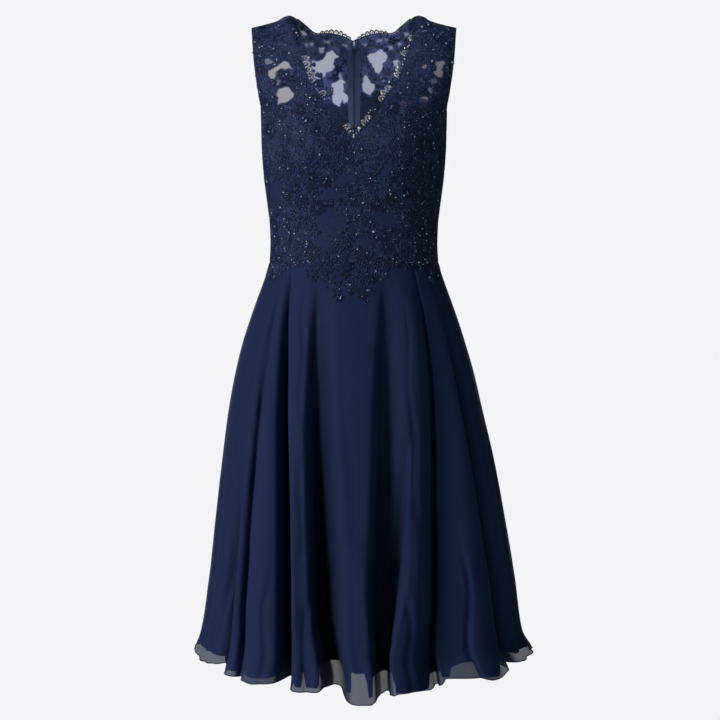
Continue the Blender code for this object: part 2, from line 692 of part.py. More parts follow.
def lace_piece(name, outline, flowers, seed):
    """A lace panel: raised flowers outside, plain inside."""
    loop = [to_flat(azimuth, run) for azimuth, run in outline]
    ground = loose_grid(loop, LACE_STEP, LACE_CLEAR)
    blooms = scatter_flowers(loop, flowers, seed)
    reach = FLOWER_RADIUS + 0.0035
    outer = [(p, 0.0) for p in ground if all(math.dist(p, centre) > reach for centre, _ in blooms)]
    for centre, turn in blooms:
        outer += flower(centre, turn)
    wall(name, [loop], bodice_place(), LACE, NAVY_LACE, outer, [(p, 0.0) for p in ground])


def lining_piece(name, outline):
    loop = [to_flat(azimuth, run) for azimuth, run in outline]
    ground = [(p, 0.0) for p in loose_grid(loop, LINING_STEP, LINING_CLEAR)]
    inset = LACE / 2 + LINING_INSIDE + LINING / 2
    wall(name, [loop], bodice_place(inset), LINING, NAVY_LINING, ground, ground)


def make_bodice():
    lace_piece("bodice_front", mirrored(front_outline()), FLOWERS_FRONT, 5)
    lace_piece("bodice_back_left", back_outline(), FLOWERS_BACK, 7)
    lace_piece("bodice_back_right", flipped(back_outline()), FLOWERS_BACK, 8)
    lining_piece("bodice_lining_front", mirrored(lining_front_outline()))
    lining_piece("bodice_lining_back_left", lining_back_outline())
    lining_piece("bodice_lining_back_right", flipped(lining_back_outline()))


# ---------------------------------------------------------------- neck edgings

def edging(name, rows, steps, back, side):
    """A scalloped edging: a band along the cut edge with a loop and an eyelet at each step."""
    edge = [np.array((x, max(run_at(x, level), RIDGE_GAP))) for x, level in spread(rows, steps)]
    if back:
        edge[-1][0] = SLOT_HALF + SEAM
    ways = [edge[min(i + 1, steps)] - edge[max(i - 1, 0)] for i in range(steps + 1)]

    def at(place, out):
        """A flat place (x, run): so many steps along the edge, and out from it over the opening."""
        before = int(min(max(place, 0), steps - 1))
        share = place - before
        along = lerp(ways[before], ways[before + 1], share)
        along /= np.linalg.norm(along)
        point = lerp(edge[before], edge[before + 1], share) + np.array((-along[1], along[0])) * out
        return np.array((point[0], max(point[1], RIDGE_GAP)))

    pitch = np.linalg.norm(edge[1] - edge[0])
    loops = steps - 1
    base = [at(i, SEAM) for i in range(steps + 1)]
    tips = [at(0.0, LOOP_NOTCH)]
    holes = []
    for i in range(loops):
        tips += [at(i + 0.5 + share, LOOP_REACH * out) for share, out in ((-0.26, 0.90), (0.26, 0.90))]
        tips.append(at(i + 1.0, LOOP_NOTCH))
        hole = []
        for k in range(EYELET_SIDES):
            angle = math.tau * k / EYELET_SIDES
            reach = EYELET_CENTRE + EYELET * math.sin(angle)
            hole.append(at(i + 0.5 + EYELET * math.cos(angle) / pitch, reach))
        holes.append(hole)
    if back:
        tips.append(at(steps, LOOP_NOTCH * 0.5))
    else:
        base[-1] = np.array((SEAM / 2, base[-1][1]))
        tips.append(base[-1] - np.array((0.0, LOOP_NOTCH * 1.5)))

    loop = [tuple(point) for point in base + tips[::-1]]
    holes = [[tuple(point) for point in hole] for hole in holes]

    def place(flat, offset):
        x, run = max(flat[0], 0.0), max(flat[1], 0.0)
        return shifted(bodice_point, azimuth_at(x, run, back) * side, run, offset)
    wall(name, [loop] + holes, place, TRIM, NAVY_TRIM)


def make_edgings():
    for side, word in ((1, "left"), (-1, "right")):
        edging("edging_front_" + word, V_NECK, FRONT_LOOPS, False, side)
        edging("edging_back_" + word, BACK_NECK, BACK_LOOPS, True, side)


# ---------------------------------------------------------------- skirt

def columns_between(start, finish):
    """Hem azimuths of a panel's columns: its two edges, and places across each trough."""
    places = []
    for trough in sorted(TROUGHS, key=lambda trough: -trough.depth):
        shares = DEEP_COLUMNS if trough.depth > DEEP else SHALLOW_COLUMNS
        for turn in (-360, 0, 360):
            for share in sorted(shares, key=abs):
                place = trough.hem + turn + share * trough.half_angle
                if start + COLUMN_APART < place < finish - COLUMN_APART:
                    if all(abs(place - other) > COLUMN_APART for other in places):
                        places.append(place)
    return [start] + sorted(places) + [finish]


def chiffon_length(azimuth):
    wrapped = (azimuth + 180) % 360 - 180
    return WAIST_SEAM - SEAM - HEM_LEVEL(wrapped)


def lining_length(_azimuth):
    return WAIST_SEAM - SEAM - LINING_HEM


def make_skirt():
    panels = (("front", -90, 90), ("back_left", 90, 180), ("back_right", 180, 270))
    for word, start, finish in panels:
        places = columns_between(start + SKIRT_GAP, finish - SKIRT_GAP)
        grid_wall("skirt_" + word, places, SKIRT_ROWS, chiffon_length, along_folds(skirt_point),
                  CHIFFON, NAVY_CHIFFON)
        grid_wall("skirt_lining_" + word, places, LINING_ROWS, lining_length,
                  along_folds(skirt_lining_point), LINING, NAVY_LINING)


# ---------------------------------------------------------------- lace over the waist seam

def petal_edge(spill, count):
    """The spill's lower edge with small rounded petals along it."""
    reach = columns(spill, "azimuth")["reach"]
    start, finish = spill[0].azimuth, spill[-1].azimuth
    line = []
    for i in range(count + 1):
        azimuth = lerp(start, finish, i / count)
        petal = 1 - 0.16 * (i % 2)
        line.append((azimuth, reach(azimuth) * petal))
    return line


def waist_lace(name, spill, count, side=1):
    lower = petal_edge(spill, count)
    upper = [(azimuth, 0.0006) for azimuth, _ in lower[::2]]
    outline = [(azimuth * side, run) for azimuth, run in upper + lower[::-1]]
    loop = [to_flat(azimuth, run) for azimuth, run in outline]
    out = CHIFFON / 2 + LACE_OVER + TRIM / 2

    def place(flat, offset):
        return shifted(skirt_point, flat[0] / DEGREE_WIDE, flat[1], out + offset)
    ground = []
    for azimuth, reach in lower[1:-1:2]:
        for share in (0.3, 0.6):
            if reach > SPILL_GROUND:
                ground.append((to_flat(azimuth * side, reach * share), RELIEF * (share > 0.5)))
    wall(name, [loop], place, TRIM, NAVY_LACE, ground, [(p, 0.0) for p, _ in ground])


def make_waist_lace():
    waist_lace("waist_lace_front", SPILL_FRONT, 60)
    waist_lace("waist_lace_back_left", SPILL_BACK, 24)
    waist_lace("waist_lace_back_right", SPILL_BACK, 24, -1)


# ---------------------------------------------------------------- zip

def back_seam(across, level, offset):
    """A point beside the centre back seam, moved out along the cloth's normal."""
    if level > WAIST_SEAM:
        run = run_at(0.0, level)
        return shifted(bodice_point, azimuth_at(across, run, True), run, offset)
    run = max(WAIST_SEAM - SEAM - level, 0.0)
    azimuth = 180 - math.degrees(math.asin(across / SKIRT["half_width"](-level)))
    return shifted(skirt_point, azimuth, run, offset)


def tape_inset(level):
    """How far in the tapes lie: on the lace above, and inside the skirt's lining below."""
    above = LACE / 2 + TAPE_INSIDE + TAPE / 2
    run = max(WAIST_SEAM - level, 0.0)
    below = lining_gap(run) + LINING / 2 + TAPE_INSIDE + TAPE / 2
    return lerp(above, below, ease((TAPE_DIPS - level) / (TAPE_DIPS - WAIST_SEAM)))


def zip_tape(name, side):
    """A tape inside the back, from the neck to below the waist."""
    levels = [lerp(ZIP_TOP, TAPE_DIPS, i / 16) for i in range(17)]
    levels += [lerp(TAPE_DIPS, WAIST_SEAM, i / 2) for i in range(1, 3)]
    levels += [lerp(WAIST_SEAM, ZIP_FOOT, i / 7) for i in range(1, 8)]
    mirror = Vector((side, 1, 1))
    points = []
    for face in (TAPE / 2, -TAPE / 2):
        for level in levels:
            for across in (SEAM / 2, TAPE_WIDE):
                points.append(back_seam(across, level, face - tape_inset(level)) * mirror)
    sheet = 2 * len(levels)
    faces = []
    for j in range(len(levels) - 1):
        a = 2 * j
        faces.append([a, a + 1, a + 3, a + 2])
        faces.append([sheet + a, sheet + a + 2, sheet + a + 3, sheet + a + 1])
        faces.append([a, a + 2, sheet + a + 2, sheet + a])
        faces.append([a + 1, sheet + a + 1, sheet + a + 3, a + 3])
    end = sheet - 2
    faces.append([0, sheet, sheet + 1, 1])
    faces.append([end, end + 1, sheet + end + 1, sheet + end])
    return new_object(name, closed_mesh(name, points, faces), NAVY_LINING)


def box(shape, centre, size):
    """A box added to a bmesh, in the slider's own axes: across, out and up."""
    made = bmesh.ops.create_cube(shape, size=1.0)
    bmesh.ops.scale(shape, vec=size, verts=made["verts"])
    bmesh.ops.translate(shape, vec=centre, verts=made["verts"])


def rod(shape, radius, length, centre, sides=10):
    """A rod that lies across, added to a bmesh."""
    made = bmesh.ops.create_cone(shape, cap_ends=True, segments=sides, radius1=radius, radius2=radius,
                                 depth=length)
    bmesh.ops.rotate(shape, matrix=Matrix.Rotation(math.pi / 2, 3, "Y"), verts=made["verts"])
    bmesh.ops.translate(shape, vec=centre, verts=made["verts"])


def joined_solid(name, shapes, colour):
    """One closed body from several overlapping shapes, by Boolean unions."""
    bodies = []
    for number, build in enumerate(shapes):
        mesh = bpy.data.meshes.new(name)
        shape = bmesh.new()
        build(shape)
        shape.to_mesh(mesh)
        shape.free()
        bodies.append(bpy.data.objects.new("%s_%d" % (name, number), mesh))
        bpy.context.scene.collection.objects.link(bodies[-1])
    whole = bodies[0]
    for other in bodies[1:]:
        union = whole.modifiers.new("union", "BOOLEAN")
        union.operation = "UNION"
        union.object = other
    shaped = whole.evaluated_get(bpy.context.evaluated_depsgraph_get())
    mesh = bpy.data.meshes.new_from_object(shaped)
    for body in bodies:
        bpy.data.objects.remove(body, do_unlink=True)
    mesh.materials.clear()
    return new_object(name, mesh, colour, 0.35, 0.9)


def slider_axes():
    """The slider's frame: its origin on the pin, x across, y out of the cloth and z up along it."""
    cloth = back_seam(0.0, SLIDER_LEVEL, 0.0)
    out = (back_seam(0.0, SLIDER_LEVEL, 0.01) - cloth).normalized()
    across = Vector((1, 0, 0))
    up = across.cross(out)
    frame = Matrix((across, out, up)).transposed().to_4x4()
    frame.translation = cloth + out * PIN_OUT
    return frame


def make_slider(frame):
    plate_out = LACE / 2 + RELIEF + SEAM + PLATE_THICK / 2 - PIN_OUT
    inner_out = -(tape_inset(SLIDER_LEVEL) + TAPE / 2 + SEAM + PLATE_THICK / 2) - PIN_OUT
    ear_x = EYE_WIDTH / 2 + SEAM + EAR_THICK / 2
    ear_high = PIN_OUT - LACE / 2 - RELIEF - SEAM + PIN_RADIUS * 2

    def plate(shape):
        box(shape, (0, plate_out, -PLATE_DOWN), (PLATE_SIZE[0], PLATE_THICK, PLATE_SIZE[1]))

    def inner(shape):
        box(shape, (0, inner_out, -PLATE_DOWN), (PLATE_SIZE[0], PLATE_THICK, PLATE_SIZE[1]))

    def neck(shape):
        middle = (plate_out + inner_out) / 2
        box(shape, (0, middle, NECK_UP), (NECK_SIZE[0], plate_out - inner_out, NECK_SIZE[1]))

    def ear(side):
        def build(shape):
            box(shape, (side * ear_x, PIN_RADIUS * 2 - ear_high / 2, 0), (EAR_THICK, ear_high, EAR_TALL))
        return build

    def pin(shape):
        rod(shape, PIN_RADIUS, EYE_WIDTH + 2 * SEAM + EAR_THICK, (0, 0, 0))

    slider = joined_solid("zip_slider", [plate, inner, neck, ear(1), ear(-1), pin], NAVY_METAL)
    slider.matrix_world = frame


def make_pull(frame):
    """The tab: an eye round the pin, and a drop-shaped plate that hangs from it."""
    outline = [(TAB_WIDE / 2 * w, -TAB_LENGTH * h) for w, h in
               ((0.50, 0.10), (0.55, 0.35), (0.80, 0.62), (1.00, 0.80), (0.88, 0.93), (0.45, 1.0))]
    outline += [(-x, z) for x, z in reversed(outline)]

    def drop(shape):
        front = [shape.verts.new((x, TAB_THICK / 2, z)) for x, z in outline]
        rear = [shape.verts.new((x, -TAB_THICK / 2, z)) for x, z in outline]
        shape.faces.new(front)
        shape.faces.new(rear[::-1])
        for i in range(len(outline)):
            k = (i + 1) % len(outline)
            shape.faces.new((front[k], front[i], rear[i], rear[k]))
        bmesh.ops.recalc_face_normals(shape, faces=shape.faces[:])

    def eye(shape):
        rod(shape, EYE_RADIUS, EYE_WIDTH, (0, 0, 0), 12)

    def shank(shape):
        box(shape, (0, 0, -SHANK_DOWN), (EYE_WIDTH, TAB_THICK, SHANK_TALL))

    pull = joined_solid("zip_pull", [eye, shank, drop], NAVY_METAL)
    hole = bpy.data.meshes.new("eye_hole")
    shape = bmesh.new()
    rod(shape, EYE_HOLE, EYE_WIDTH * 2, (0, 0, 0), 12)
    shape.to_mesh(hole)
    shape.free()
    cutter = bpy.data.objects.new("eye_hole", hole)
    bpy.context.scene.collection.objects.link(cutter)
    cutter.hide_render = True
    cutter.display_type = "WIRE"
    cut = pull.modifiers.new("eye", "BOOLEAN")
    cut.operation = "DIFFERENCE"
    cut.object = cutter
    pull.matrix_world = frame
    cutter.matrix_world = frame


def make_zip():
    zip_tape("zip_tape_left", 1)
    zip_tape("zip_tape_right", -1)
    frame = slider_axes()
    make_slider(frame)
    make_pull(frame)


def clear_scene():
    for piece in list(bpy.data.objects):
        bpy.data.objects.remove(piece, do_unlink=True)


clear_scene()
make_bodice()
make_edgings()
make_skirt()
make_waist_lace()
make_zip()
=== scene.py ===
"""Looks of the navy cocktail dress: net, beaded lace, edgings, chiffon, linings and zip."""
import math

import bpy
import numpy as np
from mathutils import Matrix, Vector
from mathutils.geometry import delaunay_2d_cdt


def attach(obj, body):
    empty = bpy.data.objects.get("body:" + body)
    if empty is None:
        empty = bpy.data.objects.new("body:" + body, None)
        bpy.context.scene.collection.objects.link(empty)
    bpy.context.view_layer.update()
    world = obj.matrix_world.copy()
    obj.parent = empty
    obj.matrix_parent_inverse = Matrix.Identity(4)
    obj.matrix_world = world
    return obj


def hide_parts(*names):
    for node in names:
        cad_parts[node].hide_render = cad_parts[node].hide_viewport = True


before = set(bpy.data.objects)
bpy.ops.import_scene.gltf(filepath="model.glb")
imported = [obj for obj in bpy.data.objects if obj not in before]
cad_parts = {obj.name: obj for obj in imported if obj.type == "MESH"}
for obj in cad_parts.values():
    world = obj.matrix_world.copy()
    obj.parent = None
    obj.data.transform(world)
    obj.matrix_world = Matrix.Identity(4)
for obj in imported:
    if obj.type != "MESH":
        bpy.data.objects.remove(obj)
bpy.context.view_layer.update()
BODY = "dress"

# ---------------------------------------------------------------- sizes (metres, degrees), as in the CAD

WAIST = -0.3740
SEAM = 0.0003
SKIRT_TOP = WAIST - SEAM
LACE_INSIDE = 0.0031      # from the middle of the lace to the middle of the bodice lining
LINING_TOP_FRONT = -0.142
LINING_TOP_BACK = -0.116
LINING_CORNER = 0.041     # half width where the front lining's top meets the V
LINING_BESIDE_ZIP = 0.0130
LINING_UNDER_ARM = 0.004  # how far the lining's top lies below the armholes
LINING_DROP_BACK = 0.027  # how far the back lining's top falls towards the sides
LINING_DIP = 0.019        # how far the right back lining's top dips beside the zip
UNDERARM = -0.1465
UNDERARM_HALF = 0.1407
RIDGE_GAP = 0.00006       # half the gap of the net at the shoulder ridges
DEGREE_WIDE = 0.0022      # width of a degree in flat patterns
# azimuths where panels end: the net and the lining at the side seam, and the net at the back seam
SIDE_FRONT, SIDE_BACK = 89.98, 90.02
LINING_SIDE_FRONT, LINING_SIDE_BACK = 89.9, 90.1
BACK_SEAM = 179.92
# azimuth, level of the lining's hem, which hangs a little lower on some folds
LINING_HEM = (
    (-180, -0.955), (-120, -0.953), (-88, -0.952), (-72, -0.955), (-69, -0.953), (-55, -0.955), (-53, -0.967),
    (-46, -0.970), (-43, -0.971), (-38, -0.974), (-27, -0.970), (-25.8, -0.952), (-24, -0.978),
    (-19.35, -0.981), (-19.20, -0.948), (-19.05, -0.981), (-13.6, -0.978), (-12.4, -0.950), (-8.0, -0.951),
    (-7.2, -0.991), (-4.6, -0.988), (-3.6, -0.957), (0.6, -0.957), (1.4, -0.991), (3.4, -0.990),
    (4.2, -0.966), (8.6, -0.967), (9.6, -0.985), (22, -0.986), (23.4, -0.971), (25.6, -0.969), (27, -0.972),
    (29, -0.972), (30.2, -0.959), (39.4, -0.952), (40.6, -0.976), (50, -0.977), (53, -0.956), (68, -0.955),
    (80, -0.955), (84, -0.960), (100, -0.957), (140, -0.955), (180, -0.955))

# run, level, half width, front, back, squareness
BODICE_ROWS = (
    (0.000, 0.0000, 0.1680, 0.0000, 0.0000, 4.0), (0.006, -0.0005, 0.1678, 0.0060, 0.0060, 4.0),
    (0.014, -0.0030, 0.1672, 0.0135, 0.0137, 4.0), (0.030, -0.0125, 0.1655, 0.0262, 0.0280, 4.0),
    (0.060, -0.0375, 0.1612, 0.0425, 0.0480, 4.0), (0.090, -0.0650, 0.1570, 0.0555, 0.0640, 3.9),
    (0.120, -0.0925, 0.1525, 0.0690, 0.0770, 3.7), (0.150, -0.1205, 0.1470, 0.0820, 0.0870, 3.4),
    (0.174, -0.1440, 0.1407, 0.0910, 0.0930, 3.0), (0.206, -0.1750, 0.1400, 0.1010, 0.1000, 2.7),
    (0.231, -0.2000, 0.1394, 0.1050, 0.1030, 2.5), (0.274, -0.2430, 0.1364, 0.1020, 0.1030, 2.35),
    (0.316, -0.2850, 0.1312, 0.0960, 0.0990, 2.3), (0.346, -0.3150, 0.1277, 0.0925, 0.0965, 2.25),
    (0.376, -0.3450, 0.1266, 0.0910, 0.0960, 2.2), (0.405, -0.3740, 0.1280, 0.0930, 0.0985, 2.2),
)
LENGTH = BODICE_ROWS[-1][0]
# half width, fall of the shoulder
SLOPE_ROWS = ((0.0, 0.0), (0.094, 0.0), (0.105, 0.0025), (0.115, 0.0085), (0.134, 0.0142), (0.155, 0.019),
              (0.170, 0.0215))
SLOPE_FADES = 0.150
CUP = dict(apart=0.066, level=-0.207, rise=0.015, wide=0.044, above=0.060, below=0.042)
# level, half width
V_NECK = ((0.0, 0.0995), (-0.02, 0.0945), (-0.0444, 0.0885), (-0.0666, 0.08), (-0.0857, 0.0738),
          (-0.1046, 0.067), (-0.125, 0.0515), (-0.1465, 0.0385), (-0.177, 0.016), (-0.195, 0.0))
ARMHOLE = ((-0.019, 0.1549), (-0.0343, 0.1534), (-0.0649, 0.151), (-0.0954, 0.1473), (-0.1259, 0.1427),
           (-0.1385, 0.1406))
BACK_NECK = ((0.0, 0.0975), (-0.0015, 0.0910), (-0.0055, 0.0850), (-0.0100, 0.0790), (-0.0160, 0.0712),
             (-0.0215, 0.0650), (-0.0248, 0.0570),
             (-0.025, 0.051), (-0.0245, 0.039), (-0.0265, 0.026), (-0.0305, 0.0124), (-0.035, 0.0036),
             (-0.0362, 0.0003))
# level, half width, front, back, shift, squareness
SKIRT_ROWS = (
    (-0.3743, 0.1280, 0.0932, 0.0987, 0.0000, 2.20), (-0.4000, 0.1366, 0.1050, 0.1100, 0.0000, 2.15),
    (-0.4460, 0.1534, 0.1250, 0.1290, 0.0000, 2.10), (-0.4920, 0.1686, 0.1430, 0.1460, 0.0000, 2.05),
    (-0.5380, 0.1812, 0.1570, 0.1590, 0.0010, 2.00), (-0.5840, 0.1912, 0.1690, 0.1700, 0.0020, 2.00),
    (-0.6750, 0.2082, 0.1880, 0.1880, 0.0066, 2.00), (-0.7670, 0.2222, 0.2040, 0.2030, 0.0098, 2.00),
    (-0.8580, 0.2350, 0.2180, 0.2150, 0.0123, 2.00), (-0.9400, 0.2478, 0.2310, 0.2270, 0.0120, 2.00),
    (-0.9680, 0.2610, 0.2400, 0.2350, 0.0145, 2.00), (-1.0050, 0.2700, 0.2450, 0.2400, 0.0150, 2.00),
)
# The skirt's folds, each a trough: its azimuths at FOLD_LEVELS, the level where it starts, its left and right
# half angles above, the same at the hem, its depth, and how far its left and right bank hang over it (as a
# share of the half angle). Two rows with a half angle of TILT or more are broad tilts beside a trough.
FOLD_LEVELS = (-0.970, -0.865, -0.720, -0.530, -0.374)
TILT = 13
FOLDS = np.array((
    (-76, -76, -76, -79, -82, -0.60, 8.0, 8.0, 8.0, 8.0, 0.005, 0.00, 0.00),
    (-52.8, -55, -56, -58, -62, -0.66, 9.0, 3.0, 9.0, 3.0, 0.025, 0.00, 0.28),
    (-43.8, -47.2, -48.0, -47.2, -51, -0.40, 4.5, 2.6, 4.0, 2.4, 0.021, 0.00, 0.28),
    (-24.8, -27.2, -29.6, -34.5, -44, -0.378, 6.0, 2.6, 6.0, 2.4, 0.046, 0.00, 0.30),
    (-24.8, -27.2, -29.6, -34.5, -44, -0.378, 14.0, 2.4, 16.0, 2.4, 0.036, 0.00, 0.00),
    (-19.0, -20.8, -23.4, -27.5, -33, -0.62, 6.5, 6.5, 5.5, 5.5, 0.009, 0.00, 0.00),
    (-9.7, -15.2, -17.8, -19.4, -22.5, -0.405, 5.0, 12.6, 6.4, 8.0, 0.060, 0.08, 0.08),
    (5.4, 5.2, 8.2, 13.4, 20.0, -0.395, 5.4, 12.6, 3.2, 4.4, 0.050, 0.10, 0.00),
    (7.3, 11.2, 17.2, 26.0, 31, -0.62, 6.0, 2.4, 2.4, 1.8, 0.032, 0.00, 0.28),
    (23.8, 26.8, 30.8, 38.6, 42, -0.378, 7.6, 2.3, 11.5, 2.2, 0.034, 0.00, 0.30),
    (23.8, 26.8, 30.8, 38.6, 42, -0.378, 2.4, 20.0, 2.4, 26.0, 0.026, 0.00, 0.00),
    (57.0, 56.6, 56.4, 58, 58.5, -0.378, 4.0, 9.0, 3.2, 9.0, 0.056, 0.18, 0.00),
    (74, 74, 75, 78, 82, -0.55, 8.0, 8.0, 8.0, 8.0, 0.006, 0.00, 0.00),
    (99, 99.4, 100, 100.5, 101, -0.45, 8.5, 8.5, 7.0, 7.0, 0.040, 0.12, 0.00),
    (120, 121, 122, 121.5, 121, -0.40, 9.5, 7.0, 7.5, 5.0, 0.054, 0.00, 0.24),
    (144, 143, 142, 142, 142, -0.40, 7.0, 9.5, 6.0, 8.0, 0.056, 0.16, 0.05),
    (167, 166, 165, 164, 163, -0.42, 9.0, 6.5, 6.5, 5.0, 0.048, 0.05, 0.20),
    (192, 193, 195, 196, 197, -0.42, 8.0, 8.0, 6.0, 6.5, 0.050, 0.14, 0.05),
    (216, 216.5, 217, 216.5, 216, -0.40, 9.5, 6.5, 8.0, 5.0, 0.054, 0.00, 0.24),
    (238, 237.5, 237, 237, 237, -0.40, 7.0, 9.5, 6.0, 8.0, 0.054, 0.20, 0.00),
    (258, 257.5, 257, 256.5, 256, -0.45, 9.0, 7.0, 8.0, 6.0, 0.040, 0.00, 0.20)))
FOLD_START, LEFT_ABOVE, RIGHT_ABOVE, LEFT_HEM, RIGHT_HEM, FOLD_DEPTH, LEFT_HANG, RIGHT_HANG = FOLDS[:, 5:].T
FOLDS_FULL = -0.960       # level where the folds have grown to their full depth
FOLD_GROWTH = 0.46        # how soon they grow: 1 is evenly
FOLDS_LOW = (-0.80, 0.17)  # level where the half angles at the hem begin to count, and over what height
FOLD_SHADE_DEPTH = 0.046       # depth of a fold that gets the full painted shade at its bottom
FOLDS_BACK = 0.85          # how far the front folds go straight back rather than towards the middle
FOLD_ROUND = 1.9           # how round the left banks are: 1 is flat
# azimuth, level of the chiffon's hem
HEM = (
    (-180, -0.975), (-140, -0.972), (-110, -0.967), (-92, -0.961), (-88, -0.960), (-80, -0.965),
    (-70, -0.969), (-58, -0.966), (-53, -0.964), (-51, -0.975), (-45, -0.977), (-43, -0.978), (-38, -0.982),
    (-30, -0.980), (-25.5, -0.978), (-24, -0.984), (-20, -0.987), (-15, -0.985), (-12.8, -0.981),
    (-11, -0.983), (-8, -0.985), (-6.6, -0.996), (-5, -0.999), (-2, -1.001), (2, -1.001), (3.2, -0.997),
    (6, -0.995), (9, -0.989), (11, -0.986), (18, -0.985), (23, -0.988), (25.5, -0.984), (27.5, -0.974),
    (33, -0.975), (40, -0.976), (46, -0.981), (50, -0.979), (53, -0.974), (56, -0.970), (68, -0.968),
    (80, -0.967), (88, -0.966), (92, -0.967), (110, -0.970), (145, -0.973), (180, -0.975))
# azimuth, how far the lace hangs below the waist seam
SPILL_FRONT = (
    (-89.7, .012), (-80, .017), (-72, .028), (-62, .031), (-53, .022), (-45, .012), (-35, .010), (-28, .028),
    (-22, .030), (-17, .040), (-12, .060), (-7, .062), (-1, .047), (3, .058), (8, .062), (13, .042),
    (19, .026), (26, .013), (40, .010), (48, .017), (56, .031), (64, .033), (73, .020), (82, .012),
    (89.7, .012))
SPILL_BACK = (
    (90.3, .012), (100, .018), (112, .030), (122, .018), (134, .011), (146, .030), (156, .040), (166, .028),
    (174, .014), (179.6, .012))

# Soft creases of the skirt besides its folds: azimuth and level where each begins and ends, its half
# angle, and its depth.
CREASES = (
    (-68, -0.50, -66, -0.99, 3.4, 0.0040), (-58, -0.74, -61, -0.99, 3.2, 0.0040),
    (-5, -0.44, -3, -0.80, 4.0, 0.0012), (-8, -0.74, 0, -0.99, 3.4, 0.0012),
    (-37, -0.80, -35, -0.99, 2.6, 0.0030), (-20.5, -0.74, -18.9, -0.99, 1.6, 0.0020),
    (42, -0.76, 40, -0.99, 2.6, 0.0034), (16, -0.80, 16, -0.99, 2.4, 0.0030),
    (64, -0.55, 66, -0.99, 3.8, 0.0050), (30, -0.40, 24, -0.62, 3.0, 0.0020),
    (-52, -0.38, -47, -0.60, 3.0, 0.0020), (-30, -0.38, -24, -0.56, 3.2, 0.0020),
    (90, -0.50, 88, -0.99, 4.0, 0.0060), (111, -0.42, 110, -0.99, 3.6, 0.0050),
    (131, -0.55, 133, -0.99, 3.6, 0.0050), (153, -0.46, 156, -0.99, 3.4, 0.0050),
    (180, -0.50, 180, -0.99, 4.0, 0.0040), (206, -0.45, 204, -0.99, 3.4, 0.0050),
    (227, -0.60, 227, -0.99, 3.4, 0.0050), (247, -0.44, 248, -0.99, 3.6, 0.0050),
    (268, -0.60, 269, -0.99, 4.0, 0.0060))


# ---------------------------------------------------------------- small maths

def curve(rows, column=1):
    """A curve through two columns of a table that never overshoots (monotone cubic)."""
    rows = sorted(rows, key=lambda row: row[0])
    xs = np.array([row[0] for row in rows], float)
    ys = np.array([row[column] for row in rows], float)
    step = np.diff(xs)
    rise = np.diff(ys) / step
    slope = np.zeros(len(xs))
    slope[0], slope[-1] = rise[0], rise[-1]
    for i in range(1, len(xs) - 1):
        if rise[i - 1] * rise[i] > 0:
            w1, w2 = 2 * step[i] + step[i - 1], step[i] + 2 * step[i - 1]
            slope[i] = (w1 + w2) / (w1 / rise[i - 1] + w2 / rise[i])

    def value(x):
        x = np.asarray(x, float)
        i = np.clip(np.searchsorted(xs, x) - 1, 0, len(step) - 1)
        t = np.clip((x - xs[i]) / step[i], 0, 1)
        return ((1 + 2 * t) * (1 - t) ** 2 * ys[i] + t * (1 - t) ** 2 * step[i] * slope[i]
                + t * t * (3 - 2 * t) * ys[i + 1] + t * t * (t - 1) * step[i] * slope[i + 1])
    return value


def ease(t):
    t = np.clip(t, 0, 1)
    return t * t * (3 - 2 * t)


def lerp(a, b, t):
    return a + (b - a) * t


B_LEVEL, B_HALF, B_FRONT, B_BACK, B_SQUARE = (curve(BODICE_ROWS, k) for k in range(1, 6))
SLOPE = curve(SLOPE_ROWS)
S_HALF, S_FRONT, S_BACK, S_SHIFT, S_SQUARE = (curve(SKIRT_ROWS, k) for k in range(1, 6))
HEM_LEVEL = curve(HEM)
FOLD_AZIMUTHS = [curve(tuple(zip(FOLD_LEVELS, fold[:5]))) for fold in FOLDS]
LINING_HEM_LEVEL = curve(LINING_HEM)


# ---------------------------------------------------------------- the surfaces

def ring(azimuth, squareness):
    s, c = np.sin(np.radians(azimuth)), np.cos(np.radians(azimuth))
    size = (np.abs(s) ** squareness + np.abs(c) ** squareness) ** (-1 / squareness)
    return s * size, -c * size


def shoulder_fall(x, run):
    return SLOPE(np.abs(x)) * (1 - ease(run / SLOPE_FADES))


def bodice(azimuth, run):
    rx, ry = ring(azimuth, B_SQUARE(run))
    x = B_HALF(run) * rx
    level = B_LEVEL(run)
    across = (np.abs(x) - CUP["apart"]) / CUP["wide"]
    down = (level - CUP["level"]) / np.where(level > CUP["level"], CUP["above"], CUP["below"])
    front = B_FRONT(run) + CUP["rise"] * np.exp(-across ** 2 - down ** 2)
    y = ry * np.where(ry < 0, front, B_BACK(run))
    return np.stack([x, y, level - shoulder_fall(x, run)], -1)


def trough_azimuths(level):
    """Azimuths of all troughs at the levels: an array of levels by troughs."""
    return np.stack([azimuth(level) for azimuth in FOLD_AZIMUTHS], -1)


def wrapped(angle):
    return (angle + 180) % 360 - 180


def folds(azimuth, level, counted=1.0):
    """How far the folds that are counted sink the skirt, and how far they all push it along itself."""
    azimuth, level = np.broadcast_arrays(azimuth, level)
    grown = ease((FOLD_START - level[..., None]) / (FOLD_START - FOLDS_FULL))
    low = ease((FOLDS_LOW[0] - level[..., None]) / FOLDS_LOW[1])
    away = wrapped(azimuth[..., None] - trough_azimuths(level))
    left = away < 0
    half = np.where(left, lerp(LEFT_ABOVE, LEFT_HEM, low), lerp(RIGHT_ABOVE, RIGHT_HEM, low))
    t = np.clip(away / half, -1, 1)
    bank = 1 - np.abs(t)
    shape = np.where(left, bank ** FOLD_ROUND, ease(bank))
    sunk = (FOLD_DEPTH * counted * grown ** FOLD_GROWTH * shape).sum(-1)
    hang = np.where(left, LEFT_HANG, RIGHT_HANG) * half * np.sin(2 * np.pi * t)
    pushed = np.radians((grown * hang).sum(-1)) * S_HALF(level)
    return sunk, pushed


